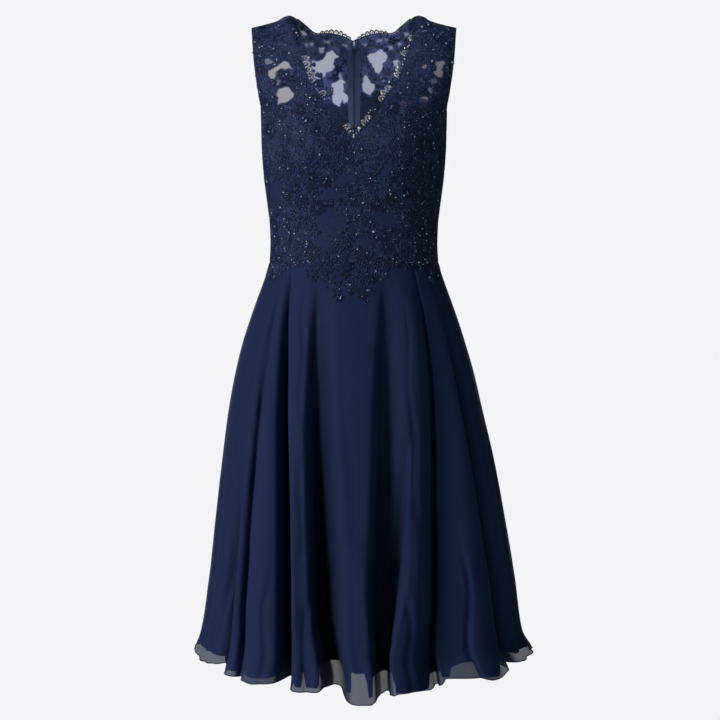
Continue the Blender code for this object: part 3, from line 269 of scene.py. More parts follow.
def creased(azimuth, level):
    depth = np.zeros(np.broadcast(azimuth, level).shape)
    for top, high, foot, low, half, deep in CREASES:
        along = (high - level) / (high - low)
        centre = lerp(top, foot, np.clip(along, 0, 1.2)) + 1.1 * np.sin(9 * along + top)
        t = np.clip(np.abs(wrapped(azimuth - centre)) / half, 0, 1)
        depth = depth + deep * ease(along * 2.2) * (0.5 + 0.5 * np.cos(np.pi * t))
    return depth


def fold_azimuth(hem_azimuth, level):
    """Follows the folds up from a place on the hem to a level."""
    hems = np.concatenate([FOLDS[:, 0] + turn for turn in (-360, 0, 360)])
    order = np.argsort(hems)
    hems = hems[order]
    drift = np.concatenate([trough_azimuths(level) - FOLDS[:, 0]] * 3, -1)[..., order]
    i = np.clip(np.searchsorted(hems, hem_azimuth) - 1, 0, len(hems) - 2)
    t = (hem_azimuth - hems[i]) / (hems[i + 1] - hems[i])
    first = np.take_along_axis(drift, i[..., None], -1)[..., 0]
    second = np.take_along_axis(drift, i[..., None] + 1, -1)[..., 0]
    return hem_azimuth + lerp(first, second, t)


def skirt(azimuth, run, inset=0.0, crease=1.0):
    level = SKIRT_TOP - run
    rx, ry = ring(azimuth, S_SQUARE(level))
    depth = np.where(ry < 0, S_FRONT(level), S_BACK(level))
    sunk, pushed = folds(azimuth, level)
    deep = sunk + crease * creased(azimuth, level) + inset
    s, c = np.sin(np.radians(azimuth)), np.cos(np.radians(azimuth))
    turn = wrapped(azimuth)
    inward = np.radians(turn * (1 - FOLDS_BACK * (1 - ease((np.abs(turn) - 45) / 30))))
    x = S_HALF(level) * rx + S_SHIFT(level) - deep * np.sin(inward) + pushed * c
    y = depth * ry + deep * np.cos(inward) + pushed * s
    return np.stack(np.broadcast_arrays(x, y, level), -1)


def skirt_lining(azimuth, run):
    return lifted(lambda a, r: skirt(a, r, crease=0.6), azimuth, run, -lerp(0.0022, 0.0045, ease(run / 0.30)))


def normals(surface, azimuth, run):
    turn, drop = 0.2, 0.0005
    across = surface(azimuth + turn, run) - surface(azimuth - turn, run)
    down = surface(azimuth, run + drop) - surface(azimuth, np.maximum(run - drop, 0))
    out = np.cross(down, across)
    return out / np.maximum(np.linalg.norm(out, axis=-1, keepdims=True), 1e-12)


def lifted(surface, azimuth, run, height):
    azimuth, run, height = np.broadcast_arrays(azimuth, run, height)
    return surface(azimuth, run) + normals(surface, azimuth, run) * height[..., None]


# ---------------------------------------------------------------- places on the bodice

def run_at(x, level):
    x, level = np.broadcast_arrays(np.asarray(x, float), np.asarray(level, float))
    low, high = np.zeros(x.shape), np.full(x.shape, LENGTH)
    for _ in range(36):
        middle = (low + high) / 2
        above = B_LEVEL(middle) - shoulder_fall(x, middle) > level
        low, high = np.where(above, middle, low), np.where(above, high, middle)
    return (low + high) / 2


def azimuth_at(x, run, back=False):
    n = B_SQUARE(run)
    share = np.minimum(np.abs(x) / B_HALF(run), 0.99999) ** n
    azimuth = np.degrees(np.arctan((share / (1 - share)) ** (1 / n)))
    return np.where(np.asarray(x) < 0, -1, 1) * (180 - azimuth if back else azimuth)


def spread(rows, count):
    length = np.concatenate([[0], np.cumsum([math.dist(a, b) for a, b in zip(rows, rows[1:])])])
    at = np.linspace(0, length[-1], count + 1)
    level = curve(list(zip(length, [row[0] for row in rows])))(at)
    half = curve(list(zip(length, [row[1] for row in rows])))(at)
    return half, level


def on_bodice(x, level, back=False):
    run = np.maximum(run_at(x, level), RIDGE_GAP)
    return azimuth_at(x, run, back), run


# ---------------------------------------------------------------- meshes

def new_piece(name, points, faces, material, replaces=(), smooth=True, values=None):
    mesh = bpy.data.meshes.new(name)
    mesh.from_pydata([tuple(p) for p in np.asarray(points, float).reshape(-1, 3)], [], faces)
    mesh.validate()
    for key, value in (values or {}).items():
        value = np.asarray(value, np.float32).ravel()
        mesh.attributes.new(key, "FLOAT", "POINT").data.foreach_set("value", value)
    mesh.polygons.foreach_set("use_smooth", [smooth] * len(mesh.polygons))
    mesh.materials.append(material)
    piece = bpy.data.objects.new(name, mesh)
    bpy.context.scene.collection.objects.link(piece)
    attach(piece, BODY)
    if replaces:
        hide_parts(*replaces)
    return piece


def grid_faces(across, down):
    """Faces between the points of a grid, given column by column."""
    return [(a + j, a + down + j, a + down + j + 1, a + j + 1)
            for a in range(0, (across - 1) * down, down) for j in range(down - 1)]


def ring_faces(rings, sides, closed=False):
    """Faces between rings of points, and from the last ring to the first where closed."""
    faces = []
    for i in range(rings if closed else rings - 1):
        a, b = i * sides, (i + 1) % rings * sides
        faces += [(a + j, a + (j + 1) % sides, b + (j + 1) % sides, b + j) for j in range(sides)]
    return faces


def inside(points, loop):
    """Which flat points lie inside a closed loop."""
    result = np.zeros(len(points), bool)
    x, y = points[:, 0], points[:, 1]
    for (x0, y0), (x1, y1) in zip(loop, np.roll(loop, -1, axis=0)):
        if y0 != y1:
            result ^= ((y0 > y) != (y1 > y)) & (x < (x1 - x0) * (y - y0) / (y1 - y0) + x0)
    return result


def distances(points, loop):
    nearest = np.full(len(points), 9.0)
    for start in range(0, len(loop), 200):
        part = loop[start:start + 200]
        gap = np.linalg.norm(points[:, None] - part[None], axis=-1).min(1)
        nearest = np.minimum(nearest, gap)
    return nearest


def fine(loop, step):
    """The loop with points no further apart than step."""
    result = []
    for a, b in zip(loop, np.roll(loop, -1, axis=0)):
        count = max(1, int(np.ceil(np.linalg.norm(b - a) / step)))
        result += [lerp(a, b, t / count) for t in range(count)]
    return np.array(result)


def cloth(loop, step, extra=None):
    """Flat points and triangles that fill a loop, with extra points where they are given."""
    loop = fine(np.array(loop, float), step)
    low, high = loop.min(0), loop.max(0)
    rows = np.arange(low[1] + step / 2, high[1], step * 0.87)
    grid = np.array([(x + (k % 2) * step / 2, y) for k, y in enumerate(rows)
                     for x in np.arange(low[0], high[0], step)])
    grid = grid[inside(grid, loop)]
    grid = grid[distances(grid, loop) > step * 0.55]
    if extra is not None:
        extra = extra[inside(extra, loop)]
        extra = extra[distances(extra, loop) > 0.0007]
        grid = np.concatenate([grid[distances(grid, extra) > step * 0.45], extra])
    flat = np.concatenate([loop, grid])
    edges = [(i, (i + 1) % len(loop)) for i in range(len(loop))]
    _, _, faces, origins, _, _ = delaunay_2d_cdt([Vector(p) for p in flat], edges, [], 1, 1e-9)
    first = [origin[0] for origin in origins]
    faces = np.array([[first[i] for i in face] for face in faces])
    return flat, faces[inside(flat[faces].mean(1), loop)]


def facing_out(points, faces, outward):
    """Turns the faces so that they look along the outward vectors."""
    a, b, c = (points[faces[:, k]] for k in range(3))
    look = (np.cross(b - a, c - a) * outward[faces[:, 0]]).sum(1)
    faces = faces.copy()
    faces[look < 0] = faces[look < 0][:, ::-1]
    return [tuple(face) for face in faces]


class Parts:
    """Collects points, faces and tones of many small shapes into one mesh."""

    def __init__(self):
        self.points, self.faces, self.tones, self.count = [], [], [], 0

    def add(self, points, faces, tone=1.0):
        points = np.asarray(points, float)
        self.points.append(points)
        self.faces += [tuple(i + self.count for i in face) for face in faces]
        self.tones.append(np.broadcast_to(tone, len(points)))
        self.count += len(points)

    def piece(self, name, slot, material, replaces=(), smooth=True):
        return new_piece(name, np.concatenate(self.points), self.faces, material, replaces, smooth,
                         {"tone": np.concatenate(self.tones)})


def tube(points, out, radius, sides=6, closed=False):
    """A round cord along points; out is a vector at each that points away from the cloth."""
    points = np.asarray(points, float)
    if closed:
        along = np.roll(points, -1, axis=0) - np.roll(points, 1, axis=0)
    else:
        along = np.gradient(points, axis=0)
    along /= np.maximum(np.linalg.norm(along, axis=1, keepdims=True), 1e-12)
    side = np.cross(along, out)
    side /= np.maximum(np.linalg.norm(side, axis=1, keepdims=True), 1e-12)
    up = np.cross(side, along)
    radius = np.broadcast_to(radius, len(points))[:, None, None]
    turn = np.linspace(0, 2 * np.pi, sides, endpoint=False)[None, :, None]
    rings = points[:, None] + radius * (np.cos(turn) * side[:, None] + np.sin(turn) * up[:, None])
    faces = ring_faces(len(points), sides, closed)
    if not closed:
        faces += [tuple(range(sides))[::-1], tuple((len(points) - 1) * sides + j for j in range(sides))]
    return rings.reshape(-1, 3), faces


# ---------------------------------------------------------------- materials

def scaled(colour, share):
    return tuple(min(1.0, channel * share) for channel in colour)


class Look:
    """A material with a Principled shader, and short ways to make its nodes."""

    def __init__(self, name, **sockets):
        self.material = bpy.data.materials.new(name)
        self.material.use_nodes = True
        self.nodes, self.link = self.material.node_tree.nodes, self.material.node_tree.links.new
        self.shader = self.nodes["Principled BSDF"]
        self.fill(self.shader, sockets)

    def set(self, socket, value):
        """Links a socket to another node's output, or sets it to a number or colour."""
        if isinstance(value, bpy.types.NodeSocket):
            self.link(value, socket)
        else:
            socket.default_value = (*value, 1) if socket.type == "RGBA" else value

    def fill(self, node, sockets):
        for name, value in sockets.items():
            self.set(node.inputs[name.replace("_", " ")], value)
        return node

    def node(self, kind, **sockets):
        return self.fill(self.nodes.new("ShaderNode" + kind), sockets)

    def done(self, **sockets):
        self.fill(self.shader, sockets)
        return self.material

    def value(self, name):
        """A value that the mesh holds at each point."""
        made = self.node("Attribute")
        made.attribute_name = name
        return made.outputs["Fac"]

    def noise(self, scale, detail=3.0, stretch=None):
        place = self.node("TexCoord").outputs["Object"]
        if stretch:
            place = self.node("Mapping", Vector=place, Scale=stretch).outputs["Vector"]
        return self.node("TexNoise", Vector=place, Scale=scale, Detail=detail).outputs["Fac"]

    def weave(self, scale):
        """Crossed threads: two sets of waves."""
        place = self.node("TexCoord").outputs["Object"]
        waves = [self.node("TexWave", Vector=place, Scale=scale, Distortion=1.5, Detail=1.0) for _ in "XZ"]
        for wave, direction in zip(waves, "XZ"):
            wave.bands_direction = direction
        return self.maths("ADD", *(wave.outputs["Fac"] for wave in waves))

    def maths(self, operation, *values):
        made = self.node("Math")
        made.operation = operation
        for socket, value in zip(made.inputs, values):
            self.set(socket, value)
        return made.outputs["Value"]

    def ramp(self, source, *stops):
        made = self.node("ValToRGB", Fac=source)
        elements = made.color_ramp.elements
        while len(elements) < len(stops):
            elements.new(0.5)
        for element, (place, colour) in zip(elements, stops):
            element.position = place
            element.color = (*colour, 1)
        return made.outputs["Color"]

    def mix(self, share, first, second, blend="MIX"):
        made = self.node("MixRGB", Fac=share, Color1=first, Color2=second)
        made.blend_type = blend
        return made.outputs["Color"]

    def with_painted_shade(self, tint):
        """The tint with a painted shade: darker and a little warmer where the mesh's painted shade value is
        high, at the bottoms of the skirt's folds.
        """
        dark = self.ramp(self.value("painted_fold_shade"), (0.0, (1.0, 1.0, 1.0)), (1.0, (0.26, 0.20, 0.17)))
        return self.mix(1.0, tint, dark, "MULTIPLY")

    def bump(self, height, strength, distance):
        made = self.node("Bump", Height=height, Strength=strength, Distance=distance)
        self.link(made.outputs["Normal"], self.shader.inputs["Normal"])


def chiffon_material():
    look = Look("navy_chiffon_cloth", Roughness=0.78, Specular_IOR_Level=0.12, Sheen_Weight=0.04,
                Sheen_Roughness=0.45, Sheen_Tint=(0.25, 0.33, 0.62))
    tint = look.ramp(look.noise(9.0, 4.0, (1, 1, 0.35)), (0.30, (0.0108, 0.0212, 0.070)),
                     (0.70, (0.0138, 0.0265, 0.086)))
    threads = look.weave(260.0)
    look.bump(threads, 0.03, 0.0003)
    sheer = look.maths("MULTIPLY_ADD", threads, 0.01, 0.872)
    thick = look.maths("MULTIPLY_ADD", look.value("full"), 0.12, sheer)
    # base colour with painted shade at the bottoms of the folds
    return look.done(Base_Color=look.with_painted_shade(tint), Alpha=thick)


def lining_material():
    look = Look("navy_lining_cloth", Roughness=0.62, Specular_IOR_Level=0.25)
    tint = look.ramp(look.noise(14.0), (0.3, (0.0100, 0.0170, 0.050)), (0.7, (0.0135, 0.0225, 0.064)))
    look.bump(look.weave(320.0), 0.2, 0.0002)
    # base colour with painted shade at the bottoms of the folds
    return look.done(Base_Color=look.with_painted_shade(tint))


def cloth_material(name, colour):
    look = Look(name, Roughness=0.65, Specular_IOR_Level=0.2)
    look.bump(look.weave(320.0), 0.1, 0.0002)
    return look.done(Base_Color=look.ramp(look.noise(14.0), (0.3, scaled(colour, 0.88)),
                                          (0.7, scaled(colour, 1.12))))


def net_material(name, clear, window, beside, light):
    """Embroidered net: mottled where worked, even where the mesh's value plain is high, and partly clear
    where open is high. Its windows have the tint window, or beside near the armholes. The last argument
    scales how light its plain places are, as painted light: the back's plain yoke, seen inside the neck, is
    painted lighter."""
    look = Look(name, Roughness=0.70, Specular_IOR_Level=0.15)
    stitches = look.noise(300.0, 4.0)
    even = look.ramp(stitches, *((place, scaled(colour, light)) for place, colour in (
        (0.36, (0.0100, 0.0170, 0.057)), (0.58, (0.0132, 0.0228, 0.078)), (0.74, (0.0162, 0.0275, 0.092)))))
    mottled = look.ramp(look.noise(620.0, 2.5), (0.38, (0.0034, 0.0060, 0.021)),
                        (0.50, (0.0108, 0.0185, 0.064)), (0.66, (0.0380, 0.0575, 0.150)))
    ground = look.mix(look.value("plain"), mottled, even)
    clearness = look.value("open")
    windows = look.mix(look.value("beside"), window, beside)
    look.bump(stitches, 0.25, 0.0006)
    return look.done(Base_Color=look.mix(clearness, ground, windows),
                     Alpha=look.maths("MULTIPLY_ADD", clearness, -clear, 1.0))


def lace_material():
    """Embroidery thread: the cords carry a painted highlight, as if they catch the light, and the filling is
    darker.
    """
    look = Look("navy_lace_thread", Roughness=0.62, Specular_IOR_Level=0.16)
    grain = look.noise(900.0, 2.0)
    tone_and_painted_light = look.maths("MULTIPLY_ADD", look.value("tone"), 0.62, 0.10)
    look.bump(grain, 0.4, 0.0003)
    # the light end of the ramp is the cords' painted highlight
    return look.done(Base_Color=look.ramp(
        look.maths("MULTIPLY_ADD", grain, 0.5, tone_and_painted_light), (0.38, (0.0042, 0.0072, 0.024)),
        (0.75, (0.0095, 0.0160, 0.052)), (1.00, (0.0330, 0.0500, 0.130))))


def bead_material(name, colour, roughness, level):
    look = Look(name, Roughness=roughness, Specular_IOR_Level=level)
    return look.done(Base_Color=look.ramp(look.noise(120.0, 1.0), (0.35, scaled(colour, 0.65)),
                                          (0.65, scaled(colour, 1.3))))


def metal_material():
    look = Look("navy_enamel", Metallic=0.4, Roughness=0.35)
    scuff = look.noise(700.0)
    look.bump(scuff, 0.1, 0.0001)
    return look.done(Base_Color=look.ramp(scuff, (0.4, (0.020, 0.026, 0.055)), (0.8, (0.045, 0.052, 0.090))))


def floor_material():
    look = Look("studio_floor", Roughness=0.9)
    return look.done(Base_Color=look.ramp(look.noise(2.0), (0.3, (0.80, 0.80, 0.81)),
                                          (0.7, (0.84, 0.84, 0.85))))


CHIFFON = chiffon_material()
LINING = lining_material()
NET = net_material("navy_net_cloth", 0.86, (0.150, 0.115, 0.270), (0.150, 0.115, 0.270), 1.0)
# the back's net: its plain yoke is painted 2.6 times lighter, a painted light for where it is seen inside the
# neck
NET_BACK = net_material("navy_net_back_cloth", 0.38, (0.020, 0.066, 0.34), (0.050, 0.062, 0.115), 2.6)
THREAD = lace_material()
BEAD_DARK = bead_material("bead_midnight", (0.012, 0.020, 0.060), 0.10, 0.9)
# beads given a lighter blue that stands for small glints: a painted glint
BEAD_PAINTED_GLINT = bead_material("bead_blue_painted_glint", (0.075, 0.120, 0.250), 0.25, 0.5)
# crystal beads with a light blue colour that stands for their sparkle: a painted sparkle
BEAD_PAINTED_SPARKLE = bead_material("bead_crystal_painted_sparkle", (0.33, 0.44, 0.66), 0.24, 0.5)
BEAD_PEARL = bead_material("bead_cream", (0.64, 0.65, 0.66), 0.22, 0.8)
CREAM_CORD = cloth_material("cream_cord", (0.36, 0.37, 0.385))
METAL = metal_material()
TAPE = cloth_material("navy_tape_cloth", (0.042, 0.058, 0.130))
INSIDE = cloth_material("navy_bodice_lining_cloth", (0.014, 0.019, 0.052))


# ---------------------------------------------------------------- outlines of the bodice pieces

SLOT = (0.0003, -0.0530)  # half width and level of the top of the back seam
LINING_UNDER = (78.0, 104.0)     # azimuths where the tops of the linings pass into their sides


def flat(azimuth, run):
    return np.stack(np.broadcast_arrays(np.asarray(azimuth, float) * DEGREE_WIDE, run), -1)


def unflat(points):
    """Azimuth and run of flat points."""
    return points[:, 0] / DEGREE_WIDE, points[:, 1]


def whole(half):
    return np.concatenate([half, half[:0:-1] * (-1, 1)])


def armhole_line(back):
    half, level = spread(ARMHOLE, 30)
    azimuth, run = on_bodice(half, level, back)
    run[0] = RIDGE_GAP
    foot = float(run_at(UNDERARM_HALF, UNDERARM))
    t = np.linspace(0, 1, 9)[1:]
    side = SIDE_BACK if back else SIDE_FRONT
    tail = flat(lerp(azimuth[-1], side, t), lerp(run[-1], foot, np.sin(t * np.pi / 2)))
    return np.concatenate([flat(azimuth, run), tail])


def neck_to_waist(rows, count, back):
    """The net's edge from the middle of the neck over shoulder ridge, armhole and side down to the waist."""
    half, level = spread(rows, count)
    azimuth, run = on_bodice(half[::-1], level[::-1], back)
    run[-1] = RIDGE_GAP
    if not back:
        azimuth[0] = 0.0
    arm = armhole_line(back)
    ridge = flat(np.linspace(azimuth[-1], arm[0][0] / DEGREE_WIDE, 12)[1:-1], RIDGE_GAP)
    side = flat(SIDE_BACK if back else SIDE_FRONT, np.linspace(arm[-1][1], LENGTH, 40)[1:])
    return np.concatenate([flat(azimuth, run), ridge, arm, side])


def front_half():
    waist = flat(np.linspace(SIDE_FRONT, 0, 60)[1:-1], LENGTH)
    return np.concatenate([neck_to_waist(V_NECK, 80, False), waist])


def back_half():
    waist = flat(np.linspace(SIDE_BACK, BACK_SEAM, 50)[1:], LENGTH)
    slot_azimuth, slot_run = on_bodice(*np.reshape(SLOT, (2, 1)), True)
    seam = flat(BACK_SEAM, np.linspace(LENGTH, slot_run[0] + 0.003, 60)[1:])
    return np.concatenate([neck_to_waist(BACK_NECK, 50, True), waist, seam, flat(slot_azimuth, slot_run)])


def lining_side(azimuth):
    return flat(azimuth, np.linspace(float(run_at(0.14, UNDERARM)) + LINING_UNDER_ARM, LENGTH, 30))


def lining_front_half():
    top_run = float(run_at(LINING_CORNER, LINING_TOP_FRONT))
    half, level = spread(V_NECK, 80)
    azimuth, run = on_bodice(half[::-1], level[::-1])
    azimuth, run = azimuth[run > top_run], run[run > top_run]
    azimuth[0] = 0.0
    t = np.linspace(0, 1, 20)
    top = flat(lerp(azimuth_at(LINING_CORNER, top_run), LINING_UNDER[0], t),
               top_run + LINING_UNDER_ARM * ease(2 * t - 1))
    waist = flat(np.linspace(LINING_SIDE_FRONT, 0, 50)[1:-1], LENGTH)
    return np.concatenate([flat(azimuth, run), top, lining_side(LINING_SIDE_FRONT), waist])


def lining_back_half(dip=0.0):
    """Half of the back lining; its top lies lower beside the zip by the dip."""
    top_run = float(run_at(0.05, LINING_TOP_BACK)) + dip
    up = np.linspace(LENGTH, top_run, 40)
    beside = azimuth_at(LINING_BESIDE_ZIP, up, True)
    t = np.linspace(0, 1, 20)
    top = flat(lerp(beside[-1], LINING_UNDER[1], t),
               top_run + LINING_DROP_BACK * ease(t * 1.5 - 0.5) - dip * ease(t * 3 - 1.4))
    waist = flat(np.linspace(LINING_SIDE_BACK, beside[0], 40)[1:], LENGTH)
    return np.concatenate([top, lining_side(LINING_SIDE_BACK), waist, flat(beside[1:-1], up[1:-1])])


FRONT_LOOP = whole(front_half())
BACK_LOOP = back_half()
MIRROR = np.array((-1.0, 1.0))


# ---------------------------------------------------------------- lace windows

def outlined(*rows):
    """Rows of how clear a window is and its outline's numbers in millimetres, with the outline in metres."""
    return [(clear, np.reshape(numbers, (-1, 2)) / 1000) for clear, *numbers in rows]


WINDOW_EDGE = 0.0020      # over what distance a window's edge fades
WINDOW_STEP = 0.0010      # how far apart the net's points are there
# Clear places of the net: how clear each is, and its outline across and up in turn, as seen from the front.
WINDOWS_FRONT = outlined(
    (0.45, -132.9, -70.3, -128, -69.5, -125.2, -71.6, -118.5, -74.5, -123.2, -77.5, -129.8, -79.3, -132.8,
     -75.3),
    (1, -127.7, -89, -121.7, -85.9, -114.6, -82.4, -108.9, -77.9, -103.4, -74.1, -97.6, -76.2, -93.8, -84,
     -91.2, -85.9, -89.9, -93.7, -92.7, -94.6, -93.7, -86.8, -99.4, -85.8, -103.2, -87.3, -107, -85.7, -113.7,
     -89.4, -114.4, -95.3, -119, -101.8, -122.8, -100.7, -126.7, -95.8),
    (0.45, -116.1, -103.8, -108.6, -102.1, -111.3, -110.7, -115.1, -110.6),
    (1, -110.3, -116.4, -102.8, -114.8, -100.9, -113.6, -94.4, -115, -93.3, -119.8, -88.6, -124.6, -89.5,
     -129.1, -96, -134, -98.9, -136.5, -108.3, -137.3, -113.6, -139.7, -112.1, -133.4, -111.2, -129.7, -114.4,
     -125.8, -113.3, -120.9),
    (0.3, -146.2, -34.1, -140.2, -35.6, -143, -39.5, -145.5, -38.9),
    (0.25, -95.2, -52.7, -91.6, -56.2, -95.5, -57.1),
    (0.45, 98.8, -81, 104.5, -78.9, 109.2, -80.8, 106.2, -85.7, 101.6, -84.9),
    (0.42, 120.6, -77.6, 123.5, -74.3, 127.6, -74.8, 133, -72.3, 136.8, -76.9, 131.9, -81.8, 132.8, -88.7,
     130.8, -98.5, 125, -97.5, 117.5, -91.3, 123.3, -87.3, 123.8, -82.1),
    (0.36, 107.8, -115.6, 113.4, -114.5, 119.1, -119.9, 113.3, -123),
    (0.4, 96.3, -131.1, 103.9, -128, 110.3, -129.7, 109.5, -136.1, 103.8, -138.4, 98.1, -135.7),
    (0.4, 66.4, -139.3, 72.7, -135.4, 78.4, -138.2, 73.8, -141, 68.1, -143.1),
    (0.26, 113.5, -102.5, 122.7, -100.7, 124.9, -106.4, 115, -108.6),
    (0.22, 141.5, -37.5, 145.8, -37.3, 145.1, -42.1, 142.5, -42.3),
    (0.22, 90.7, -55.6, 97.3, -56.2, 94.5, -60.6, 91.2, -59.3))
WINDOWS_BACK = outlined(
    (1, -64.6, -63.1, -54.8, -63.8, -45.1, -57.6, -42.1, -51.1, -33.4, -47.4, -27.5, -53.9, -22.7, -56.4,
     -30.5, -60.2, -31.5, -68.7, -29.6, -73.3, -35.4, -78, -43.2, -79.9, -45.3, -85.5, -55, -91.3, -60.9,
     -87.5, -64.8, -81.8, -65.6, -72.5),
    (1, -34.6, -96.8, -25, -93, -20.3, -90, -16, -92.1, -13.1, -95, -17.2, -96.8, -16, -104.4, -17.2, -109,
     -11.1, -113, -8.2, -117.9, -10.2, -124.3, -15.1, -127.4, -18, -120.6, -19.9, -124.3, -22, -131.2, -27.8,
     -130.3, -33.7, -123.5, -33.7, -112, -35.6, -104.4),
    (0.5, -25, -94.5, -23.7, -81.7, -20.9, -79.9, -18.9, -85.5, -16, -93),
    (1, 19.1, -57.6, 23, -52.9, 32.6, -51.1, 40.4, -45.5, 46.3, -48.3, 52.1, -55.7, 49.2, -63.1, 43.5, -66.8,
     44.4, -70.5, 42.6, -76.2, 38.7, -81.7, 33.7, -79.9, 28.8, -71.2, 24.9, -65),
    (0.85, 59.9, -63.1, 66.8, -61.3, 72.4, -65.4, 68.6, -74.3, 64, -81.8, 60.8, -74.3, 62, -68.8),
    (0.9, 14.1, -89.2, 17.2, -83.7, 20.2, -85.5, 25, -93, 32.9, -98.8, 31, -106.4, 25.1, -114, 19.3, -111.1,
     14.1, -108.2, 12.4, -98.8),
    (0.5, 38.7, -85.5, 44.5, -87.5, 52.4, -91.2, 44.6, -93.8, 40.6, -89.3),
    (0.55, -82.4, -19.4, -73.6, -21.3, -71.9, -25.7, -77.6, -26.6),
    (0.5, -54.6, -43.8, -45, -42.9, -46, -50.2, -52.8, -52),
    (0.45, -68.2, -37.4, -62.3, -35.6, -63.6, -41.7, -67.3, -41),
    (0.35, -75.9, -37.4, -70, -38.2, -71.4, -42.9, -75.1, -41.8),
    (0.38, -46.7, -32, -33.3, -33.7, -35.2, -38.2, -44.9, -36.5),
    (0.38, -18.8, -38.2, -9.3, -39.2, -11, -43.7, -15.8, -41.7),
    (0.38, 12.2, -38.2, 20.9, -37.3, 19.1, -42.9, 14, -41.7),
    (0.42, 34.5, -32, 44.1, -31, 42.3, -35.6, 35.5, -36.5),
    (0.5, 51, -41.7, 58.8, -41, 60.5, -45.5, 54, -47.4),
    (0.5, 66.4, -35.6, 73.3, -36.5, 72.3, -41.8, 68.2, -41),
    (0.55, 76.9, -22.1, 84.6, -23, 82.7, -29.3, 77.9, -26.6),
    (0.3, 47, -30.1, 52.6, -30.1, 51.9, -33.7, 48, -33.7),
    (0.35, -62.6, -101.4, -56.4, -104.5, -51.7, -112.1, -59.5, -110.6),
    (0.8, -138.9, -60.5, -132.3, -59, -128.6, -61.5, -119.6, -64.6, -126.1, -68.8, -135.2, -71.8, -139,
     -66.9),
    (1, -139.5, -80.1, -131.3, -75.4, -121.5, -70.2, -113.5, -63.9, -105.7, -58.7, -97.8, -61.2, -92.7, -71.2,
     -89.2, -73.6, -87.6, -83.7, -91.6, -85, -92.8, -74.9, -100.7, -73.7, -106, -75.9, -111.1, -73.9, -120.6,
     -79.3, -121.7, -87, -128.2, -96.1, -133.3, -95.2, -138.4, -89.1),
    (0.6, -122.3, -92, -111.8, -89.1, -115.9, -100.9, -121.1, -101.1),
    (1, -118, -102, -107.6, -99.2, -104.9, -97.5, -95.9, -99, -94.5, -105.3, -88, -111.7, -89.3, -117.9,
     -98.6, -125, -102.5, -128.7, -115.4, -130.8, -122.6, -135, -120.6, -125.7, -119.4, -120.4, -123.7,
     -115.3, -122.2, -108.3),
    (0.7, 100.8, -69.5, 108.7, -67, 115.2, -69.8, 111.4, -75.9, 104.9, -74.6),
    (0.8, 122.5, -65.5, 126.3, -61.6, 131.9, -62.6, 139, -59.9, 144.2, -66.4, 138, -72.1, 139.4, -81.4, 137,
     -94.2, 129.3, -92.2, 118.8, -83.2, 126.6, -78.3, 127.1, -71.7),
    (0.7, 110.9, -103.2, 118.6, -102.2, 126.4, -110.2, 118.6, -113.8),
    (0.7, 98.8, -118.5, 109.2, -114.7, 117.9, -117.7, 116.9, -126.6, 109.2, -129.2, 101.3, -125),
    (0.6, 68.2, -126.6, 77.1, -121.4, 85.3, -125.5, 78.8, -129.2, 70.8, -131.8),
    (0.5, 116.5, -90.7, 128.9, -89.1, 132, -97.1, 118.7, -99))
# Plain places of the front below the bust, where the lace leaves the cloth bare: x, z, half width and height.
PLAIN = (
    (-0.0354, -0.3136, 0.0220, 0.0180), (-0.0340, -0.2738, 0.0150, 0.0075), (0.0428, -0.3092, 0.0190, 0.0105),
    (0.0148, -0.3432, 0.0100, 0.0075), (-0.0473, -0.3447, 0.0120, 0.0120), (0.0443, -0.2457, 0.0100, 0.0075),
    (-0.1160, -0.2664, 0.0090, 0.0160), (-0.0133, -0.2516, 0.0120, 0.0090))
# Large flowers of the front below the bust: x and z.
FLOWERS = (
    (-0.0354, -0.2871), (-0.0789, -0.2457), (0.0335, -0.2871), (0.0288, -0.3277), (-0.0081, -0.3328),
    (-0.0242, -0.3328), (0.0673, -0.2487), (0.0143, -0.3646))


def within(points, ellipses, grow=0.0):
    """How deep points lie in the nearest of some ellipses of the front view: 0 on a rim, 1 at a centre."""
    deepest = np.full(len(points), -9.0)
    for x, z, wide, high in ellipses:
        away = np.hypot((points[:, 0] - x) / (wide + grow), (points[:, 2] - z) / (high + grow))
        deepest = np.maximum(deepest, 1 - away)
    return deepest


def depth_in(points, outline):
    """How far flat points lie inside a closed outline: less than 0 outside."""
    gap = distances(points, fine(outline, 0.0007))
    return np.where(inside(points, outline), gap, -gap)


def about(points, outline, grow):
    return ((points > outline.min(0) - grow) & (points < outline.max(0) + grow)).all(1)


def openness(places, windows):
    """How clear the net is at places: from 0 to 1."""
    seen, mask = places[:, [0, 2]], np.zeros(len(places))
    for clear, outline in windows:
        near = about(seen, outline, WINDOW_EDGE)
        if near.any():
            edge = ease(0.5 + depth_in(seen[near], outline) / WINDOW_EDGE)
            mask[near] = np.maximum(mask[near], clear * edge)
    return mask


def by_window(places, windows, reach):
    seen, close = places[:, [0, 2]], np.zeros(len(places), bool)
    for _, outline in windows:
        near = about(seen, outline, reach)
        if near.any():
            close[near] |= depth_in(seen[near], outline) > -reach
    return close


def window_spots(windows, back):
    """Flat points, close together, in and just round the windows."""
    spots = []
    for _, outline in windows:
        low, high = outline.min(0) - WINDOW_EDGE, outline.max(0) + WINDOW_EDGE
        x, z = np.meshgrid(np.arange(low[0], high[0], WINDOW_STEP), np.arange(low[1], high[1], WINDOW_STEP))
        grid = np.stack([x.ravel(), z.ravel()], -1)
        spots.append(grid[depth_in(grid, outline) > -WINDOW_EDGE])
    spots = np.concatenate(spots)
    _, first = np.unique(np.round(spots / WINDOW_STEP).astype(int), axis=0, return_index=True)
    spots = spots[np.sort(first)]
    return flat(*on_bodice(spots[:, 0], spots[:, 1], back))


# ---------------------------------------------------------------- lace motifs

